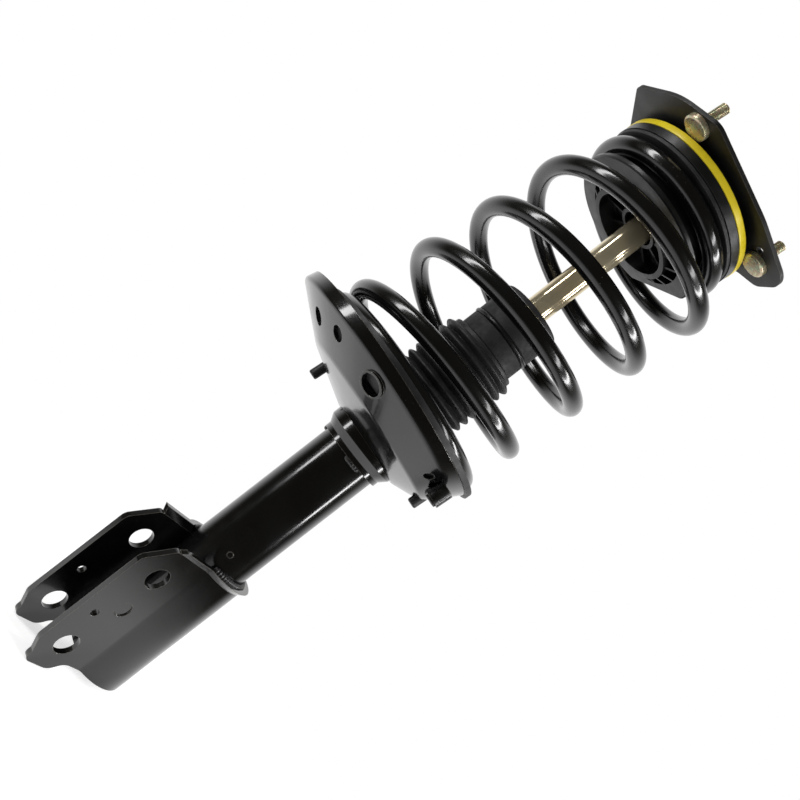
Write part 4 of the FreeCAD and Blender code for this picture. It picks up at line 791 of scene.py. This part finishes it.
@dataclass
class LowerSeat:
    """Rubber pieces on the lower spring pan, about the spring axis. Sizes are in mm."""

    shop: Paintshop
    wall: float = 2.8
    # The pan's outside: height, radius and shift off the axis
    levels: tuple[Triple, ...] = ((-27.0, 65.0, -4.0), (-9.0, 90.5, 12.0), (-0.5, 92.0, 9.5))
    lean_azimuth: float = -48.0
    columns: int = 144
    pad_in: float = 54.0
    pad_foot: float = -17.0
    side_heights: tuple[float, ...] = (-14.0, -11.0, -8.5, -6.0)
    pad_top: float = -3.8
    lip_heights: tuple[float, ...] = (-2.0, -0.5)
    lip_top: float = -0.3
    rim: float = -1.0  # the pan's inside is taken no higher than this
    groove: Pair = (66.9, 81.8)
    inner_top: float = 1.0
    edge_out: float = 85.4
    edge_top: float = 4.0
    # Pegs: radius and azimuth of the place, and height of the tip
    pegs: tuple[Triple, ...] = ((61.0, -87.0, -40.0), (67.5, 128.0, -33.5), (61.0, 215.0, -38.0))
    peg_r: float = 4.0
    clip_azimuth: float = 97.0
    clip_level: float = -11.0
    clip_reach: float = 4.5
    plug: tuple[float, ...] = (-24.5, -10.5, 4.5, 4.4)  # foot, top, radius, waist

    def pan_r(self, azimuth: Array, height: float) -> Array:
        """Distance from the axis to the pan's outside.

        At each height the outside is a circle whose middle is shifted off the axis, so the
        distance is shift cos(turn) + square root of (radius^2 - (shift sin(turn))^2).

        Args:
            azimuth: Azimuths in radians.
            height: Height above the axis's origin.

        Returns:
            Distance at each azimuth.
        """
        level, radius, shift = np.array(self.levels).T
        size, off = np.interp(height, level, radius), np.interp(height, level, shift)
        turn = azimuth - math.radians(self.lean_azimuth)
        return off * np.cos(turn) + np.sqrt(size ** 2 - (off * np.sin(turn)) ** 2)

    def inside(self, azimuth: Array, height: float) -> Array:
        """Distance to the pan's inside: its outside less the wall over the cosine of the slope."""
        slope = self.pan_r(azimuth, height + 0.5) - self.pan_r(azimuth, height - 0.5)
        return self.pan_r(azimuth, height) - self.wall * np.sqrt(1 + slope ** 2)

    def make_pad(self) -> None:
        """Pad that fills the pan below the wire, with its lips, and pegs through the pan's floor."""
        azimuth = around(self.columns)
        groove_in, groove_out = self.groove
        top = rounded([(self.edge_out, self.edge_top - 1.5, 0.1), (self.edge_out, self.edge_top, 1.3),
                       (groove_out, self.edge_top, 1.0), (groove_out, self.pad_top, 2.5),
                       (groove_in, self.pad_top, 2.5), (groove_in - 1, self.inner_top, 0.8),
                       (self.pad_in, self.inner_top, 1.0), (self.pad_in, self.pad_foot, 0.5)], 5, False)
        rows = [(self.inside(azimuth, height), height)
                for height in (self.pad_foot, *self.side_heights, self.pad_top)]
        rows += [(np.minimum(self.edge_out, self.inside(azimuth, min(height, self.rim))), height)
                 for height in (self.pad_top, *self.lip_heights)]
        rows += [(np.full(self.columns, radius), height)
                 for radius, height in ((self.edge_out, self.lip_top), *top)]
        radius = np.array([row[0] for row in rows])
        height = np.array([row[1] for row in rows])[:, None]
        shells = [Shell(lathe(radius, height, azimuth))]
        root = self.pad_foot + 1
        for circle_r, turn, tip in self.pegs:
            outline = rounded([(0.0, tip, 0.0), (self.peg_r, tip, 1.4), (self.peg_r, root, 0.2),
                               (0.0, root, 0.0)], 5, False)
            shells.append(Shell(revolve(outline, 32) + spot(circle_r, turn), False))
        self.shop.make("lower_rubber_pad", shells, Axis.SPRING, "strut_housing", "rubber", "lower_insulator")

    def make_grommet(self) -> None:
        """Rubber plug in the line clip, with a bead at each side of the clip."""
        reach = float(self.pan_r(np.radians([self.clip_azimuth]), self.clip_level)[0]) + self.clip_reach
        low, high, radius, waist = self.plug
        outline = rounded([(0.0, low, 0.0), (radius, low, 1.4), (radius, low + 1.1, 0.2),
                           (waist, low + 1.3, 0.2), (waist, high - 0.9, 0.2), (radius, high - 0.7, 0.2),
                           (radius, high, 0.5), (1.6, high, 0.4), (1.2, high - 3.0, 0.6),
                           (0.0, high - 3.0, 0.0)], 5, False)
        plug = revolve(outline, 48) + spot(reach, self.clip_azimuth)
        self.shop.make("clip_grommet_rubber", [Shell(plug, False)], Axis.SPRING, "strut_housing", "rubber",
                       "line_grommet")

    def build(self) -> None:
        """Build the pad and the grommet."""
        self.make_pad()
        self.make_grommet()


@dataclass
class UpperSeat:
    """Upper rubber pad and the bearing's cap, about the mount axis. Sizes in mm, heights from the pivot."""

    shop: Paintshop
    flange: float = 1.7
    drum: float = 48.29
    sleeve: float = 49.49
    sleeve_drop: float = 12.0
    pad_r: float = 63.5
    pad_thick: float = 3.0
    web_in: float = 41.0
    web: Pair = (12.5, 14.2)
    skirt: Pair = (62.1, 64.3)
    skirt_low: float = 8.7
    black_r: float = 61.5  # the cap is black inside this radius

    def make_pad(self) -> None:
        """Pad over the top turn, with two fine ribs round its rim."""
        low, foot, rim = self.flange - self.pad_thick, self.flange - self.sleeve_drop, self.pad_r
        outline = rounded([(self.drum, self.flange, 0.2), (self.drum, foot, 0.3), (self.sleeve, foot, 0.5),
                           (self.sleeve, low, 1.5), (rim - 0.4, low, 0.7), (rim, low + 0.8, 0.4),
                           (rim - 0.5, low + 1.3, 0.3), (rim, low + 1.9, 0.4), (rim - 0.4, self.flange, 0.4)])
        self.shop.make("upper_rubber_pad", [Shell(revolve(outline, 144))], Axis.MOUNT, "rod", "rubber",
                       "upper_insulator")

    def make_cap(self) -> None:
        """Cap with a yellow skirt and a black web, with moulded corner radii."""
        (low, top), (skirt_in, skirt_out) = self.web, self.skirt
        outline = rounded([(self.web_in, low, 0.3), (skirt_in, low, 0.4), (skirt_in, self.skirt_low, 0.3),
                           (skirt_out, self.skirt_low, 0.6), (skirt_out, top, 1.1), (self.web_in, top, 0.4)])
        piece = self.shop.make("yellow_bearing_cap", [Shell(revolve(outline, 160))], Axis.MOUNT, "mount",
                               "plastic_yellow", "bearing_cap")
        piece.data.materials.append(self.shop.materials["plastic_black"])
        centres = np.empty(len(piece.data.polygons) * 3)
        piece.data.polygons.foreach_get("center", centres)
        foot, head = Axis.MOUNT.place(np.array([[0.0, 0.0, 14.0], [0.0, 0.0, 15.0]]))
        along = (head - foot) / MM
        off = centres.reshape(-1, 3) - foot
        reach = np.linalg.norm(off - (off @ along)[:, None] * along, axis=1)
        piece.data.polygons.foreach_set("material_index", (reach < self.black_r * MM).astype(np.int32))

    def build(self) -> None:
        """Build the pad and the cap."""
        self.make_pad()
        self.make_cap()


@dataclass
class TopMount:
    """Studs and bush of the top mount, about the mount axis. Sizes are in mm, heights from the pivot."""

    shop: Paintshop
    plate: float = 19.3
    plate_thick: float = 3.0
    stud_circle: float = 71.0
    stud_azimuths: tuple[float, ...] = (15.0, 108.0, -118.5)
    stud_r: float = 4.0
    neck_r: float = 4.3
    groove_r: float = 3.4
    groove_long: float = 1.2
    head_r: float = 9.7
    head_thick: float = 4.6
    head_gap: float = 0.02  # between the head and the plate
    rise: float = 19.5
    tip_bevel: float = 0.8
    depth: float = 0.75
    pitch: float = 1.25
    columns: int = 64
    # The bush's section: share of the circle about the mount axis, radius and height
    bush_rows: tuple[Triple, ...] = (
        (0, 13.4, -9.6), (0, 12.5, 0.0), (0, 13.5, 10.4), (0, 14.3, 12.2), (0.15, 16.5, 13.0),
        (0.5, 22.0, 13.0), (0.8, 27.0, 11.6), (1, 30.5, 12.6), (1, 32.4, 12.4), (1, 32.9, 11.6),
        (1, 32.9, -9.2), (1, 32.3, -9.8))

    def stud(self) -> Array:
        """Grid of one stud.

        Returns:
            A round head, a pressed neck, a groove and a thread with a flat tip.
        """
        low, upper = self.plate - self.head_thick, self.plate + self.plate_thick
        under, foot, tip = self.plate - self.head_gap, upper + self.groove_long, upper + self.rise
        head = rounded([(0.0, low, 0.0), (self.head_r - 1.6, low + 0.1, 0.5), (self.head_r, low + 0.8, 0.8),
                        (self.head_r, under, 0.3), (self.neck_r, under, 0.1), (self.neck_r, upper, 0.1),
                        (self.groove_r, upper, 0.1), (self.groove_r, foot, 0.0)], 5, False)
        spiral = thread(self.stud_r, self.depth, self.pitch, (foot, tip - self.tip_bevel), 140, self.columns)
        end = np.array([(self.stud_r - 0.9, tip), (0.0, tip)])
        return np.concatenate([revolve(head, self.columns), spiral, revolve(end, self.columns)])

    def make_studs(self) -> None:
        """Three studs on one circle."""
        shells = [Shell(self.stud() + spot(self.stud_circle, turn), False) for turn in self.stud_azimuths]
        self.shop.make("threaded_mount_studs", shells, Axis.MOUNT, "mount", "zinc_yellow", "mount_studs")

    def make_bush(self) -> None:
        """Rubber bush.

        Its bore is about the strut axis and its outside about the mount axis: each row of the
        grid is a mix of a circle about one and a circle about the other.
        """
        turn = around(96)
        round_z = np.stack([np.cos(turn), np.sin(turn), 0 * turn], -1)
        straight = np.array([[math.cos(CANT), 0, math.sin(CANT)], [0, 1, 0],
                             [-math.sin(CANT), 0, math.cos(CANT)]])
        rows = []
        for share, radius, height in self.bush_rows:
            circle = round_z * radius + np.array([0.0, 0.0, height])
            rows.append(circle * share + (circle @ straight.T) * (1 - share))
        self.shop.make("rubber_mount_bush", [Shell(np.array(rows))], Axis.MOUNT, "mount", "rubber",
                       "mount_bush")

    def build(self) -> None:
        """Build the studs and the bush."""
        self.make_studs()
        self.make_bush()


# Studio

@dataclass
class Studio:
    """Camera, lamps, floor and surroundings, in metres. Lamps are placed in the camera's own directions."""

    position: Triple = (0.41456, 0.40817, 0.25810)
    forward: Triple = (-0.74017, -0.67219, 0.01745)
    up: Triple = (0.53913, -0.57771, 0.61287)
    lens: float = 39.0
    target: Triple = (-0.03, 0.0, 0.25)
    # Each lamp: right, up and towards the camera from the target, width, length, watts
    lamps: tuple[tuple[float, ...], ...] = (
        (0.78, -0.45, 0.45, 0.12, 0.7, 2.8),
        (-0.3, 0.85, 0.35, 0.14, 1.0, 6.0),
        (0.75, -0.65, 0.1, 0.1, 0.9, 6.0),
        (-0.7, -0.6, -0.2, 0.5, 0.5, 4.0),
    )
    diffuse_level: float = 0.3  # strength of the surroundings as plain light
    dark_side: str = "#3C3930"
    dark_span: Pair = (-0.7, -0.15)  # cosine with the way to the camera, white to dark
    level_span: Pair = (-0.75, -0.45)  # height of the direction, white to dark
    floor_rings: tuple[float, ...] = (0.0, 0.3, 0.6, 0.9)
    floor_columns: int = 96
    floor_drop: float = 0.0005
    floor_fade: Pair = (0.14, 0.42)
    floor_seen: float = 0.62  # light that the camera sees on the floor, towards white
    floor_mirrored: float = 0.7  # light that reflections see on it

    def axes(self) -> Matrix:
        """Directions of the camera.

        Returns:
            Right, up and backward as the columns of a matrix.
        """
        back = -Vector(self.forward).normalized()
        right = Vector(self.up).cross(back).normalized()
        return Matrix((right, back.cross(right), back)).transposed()

    def make_camera(self) -> None:
        """Camera at the photograph's place and angle."""
        data = bpy.data.cameras.new("photo_camera")
        data.lens, data.sensor_width = self.lens, 36.0
        data.clip_start, data.clip_end = 0.01, 20.0
        camera = put("photo_camera", data)
        camera.matrix_world = Matrix.Translation(self.position) @ self.axes().to_4x4()
        bpy.context.scene.camera = camera

    def make_lamps(self) -> None:
        """Softboxes that face the object, their long sides along the strut."""
        axes = self.axes()
        for index, (right, up, near, width, height, watts) in enumerate(self.lamps):
            data = bpy.data.lights.new("softbox_%d" % (index + 1), "AREA")
            data.shape = "RECTANGLE"
            data.size, data.size_y, data.energy = width, height, watts
            lamp = put(data.name, data)
            offset = axes @ Vector((right, up, near))
            place = Vector(self.target) + offset
            back = offset.normalized()
            side = Vector((0.0, 0.0, 1.0)).cross(back).normalized()
            turn = Matrix((side, back.cross(side), back)).transposed()
            lamp.matrix_world = Matrix.Translation(place) @ turn.to_4x4()

    def make_world(self) -> None:
        """Surroundings: white to the camera; to reflections dim on the camera's side, else white."""
        world = bpy.data.worlds.new("studio")
        bpy.context.scene.world = world
        tree = cleared(world)
        where = add(tree, "ShaderNodeTexCoord").outputs["Generated"]
        towards = add(tree, "ShaderNodeVectorMath", DOT, in0=where,
                      in1=tuple(-Vector(self.forward).normalized())).outputs["Value"]
        near = add(tree, "ShaderNodeMapRange", SMOOTH, Value=towards, in1=self.dark_span[0],
                   in2=self.dark_span[1])
        height = add(tree, "ShaderNodeSeparateXYZ", Vector=where).outputs["Z"]
        level = add(tree, "ShaderNodeMapRange", SMOOTH, Value=height, in1=self.level_span[0],
                    in2=self.level_span[1])
        dim = add(tree, "ShaderNodeMath", TIMES, in0=near, in1=level)
        seen = add(tree, "ShaderNodeMix", RGBA, in0=dim, in6=WHITE, in7=linear(self.dark_side)).outputs[2]
        path = add(tree, "ShaderNodeLightPath").outputs
        shiny = add(tree, "ShaderNodeMath", {"operation": "MAXIMUM"}, in0=path["Is Glossy Ray"],
                    in1=path["Is Transmission Ray"])
        even = add(tree, "ShaderNodeBackground", Color=WHITE, Strength=self.diffuse_level)
        mirrored = add(tree, "ShaderNodeBackground", Color=seen, Strength=1.0)
        backdrop = add(tree, "ShaderNodeBackground", Color=WHITE, Strength=1.0)
        first = add(tree, "ShaderNodeMixShader", in0=shiny, in1=even, in2=mirrored)
        last = add(tree, "ShaderNodeMixShader", in0=path["Is Camera Ray"], in1=first, in2=backdrop)
        add(tree, "ShaderNodeOutputWorld", Surface=last)

    def floor_paint(self) -> bpy.types.Material:
        """Build the floor's material.

        Returns:
            White paint that lets the background through away from the object.
        """
        material = bpy.data.materials.new("white_floor")
        tree = cleared(material)
        where = add(tree, "ShaderNodeTexCoord").outputs["Object"]
        flat = add(tree, "ShaderNodeVectorMath", TIMES, in0=where, in1=(1.0, 1.0, 0.0))
        far = add(tree, "ShaderNodeVectorMath", {"operation": "LENGTH"}, in0=flat).outputs["Value"]
        fade = add(tree, "ShaderNodeMapRange", SMOOTH, Value=far, in1=self.floor_fade[0],
                   in2=self.floor_fade[1])
        path = add(tree, "ShaderNodeLightPath").outputs
        seen = add(tree, "ShaderNodeMath", TIMES, in0=path["Is Camera Ray"], in1=self.floor_seen)
        lift = add(tree, "ShaderNodeMath", {"operation": "MULTIPLY_ADD"}, in0=path["Is Glossy Ray"],
                   in1=self.floor_mirrored, in2=seen)
        paint = add(tree, "ShaderNodeBsdfPrincipled", Base_Color=linear("#EDEDEC"), Roughness=0.9,
                    Emission_Color=WHITE, Emission_Strength=lift)
        clear = add(tree, "ShaderNodeBsdfTransparent")
        both = add(tree, "ShaderNodeMixShader", in0=fade, in1=paint, in2=clear)
        add(tree, "ShaderNodeOutputMaterial", Surface=both)
        return material

    def make_floor(self) -> None:
        """Pale round floor that fades into the white background away from the object."""
        radius = np.array(self.floor_rings)[:, None]
        level = CAD_BOX[0].z - self.floor_drop
        grid = lathe(radius, level + 0 * radius, around(self.floor_columns))
        mesh = bpy.data.meshes.new("floor")
        mesh.from_pydata(grid.reshape(-1, 3), [], quads(len(radius), self.floor_columns, False, 0))
        mesh.materials.append(self.floor_paint())
        floor = put("floor", mesh)

    def build(self) -> None:
        """Set up the view, the light and the floor."""
        self.make_camera()
        self.make_lamps()
        self.make_world()
        self.make_floor()
        bpy.context.scene.view_settings.view_transform = "Standard"


def main() -> None:
    """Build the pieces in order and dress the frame."""
    logging.basicConfig(level=logging.INFO, format="%(message)s")
    Studio().build()
    shop = Paintshop()
    shop.dress_frame()
    for group in (Damper(shop), CoilSpring(shop), LowerSeat(shop), UpperSeat(shop), TopMount(shop)):
        group.build()


if __name__ == "__main__":
    main()
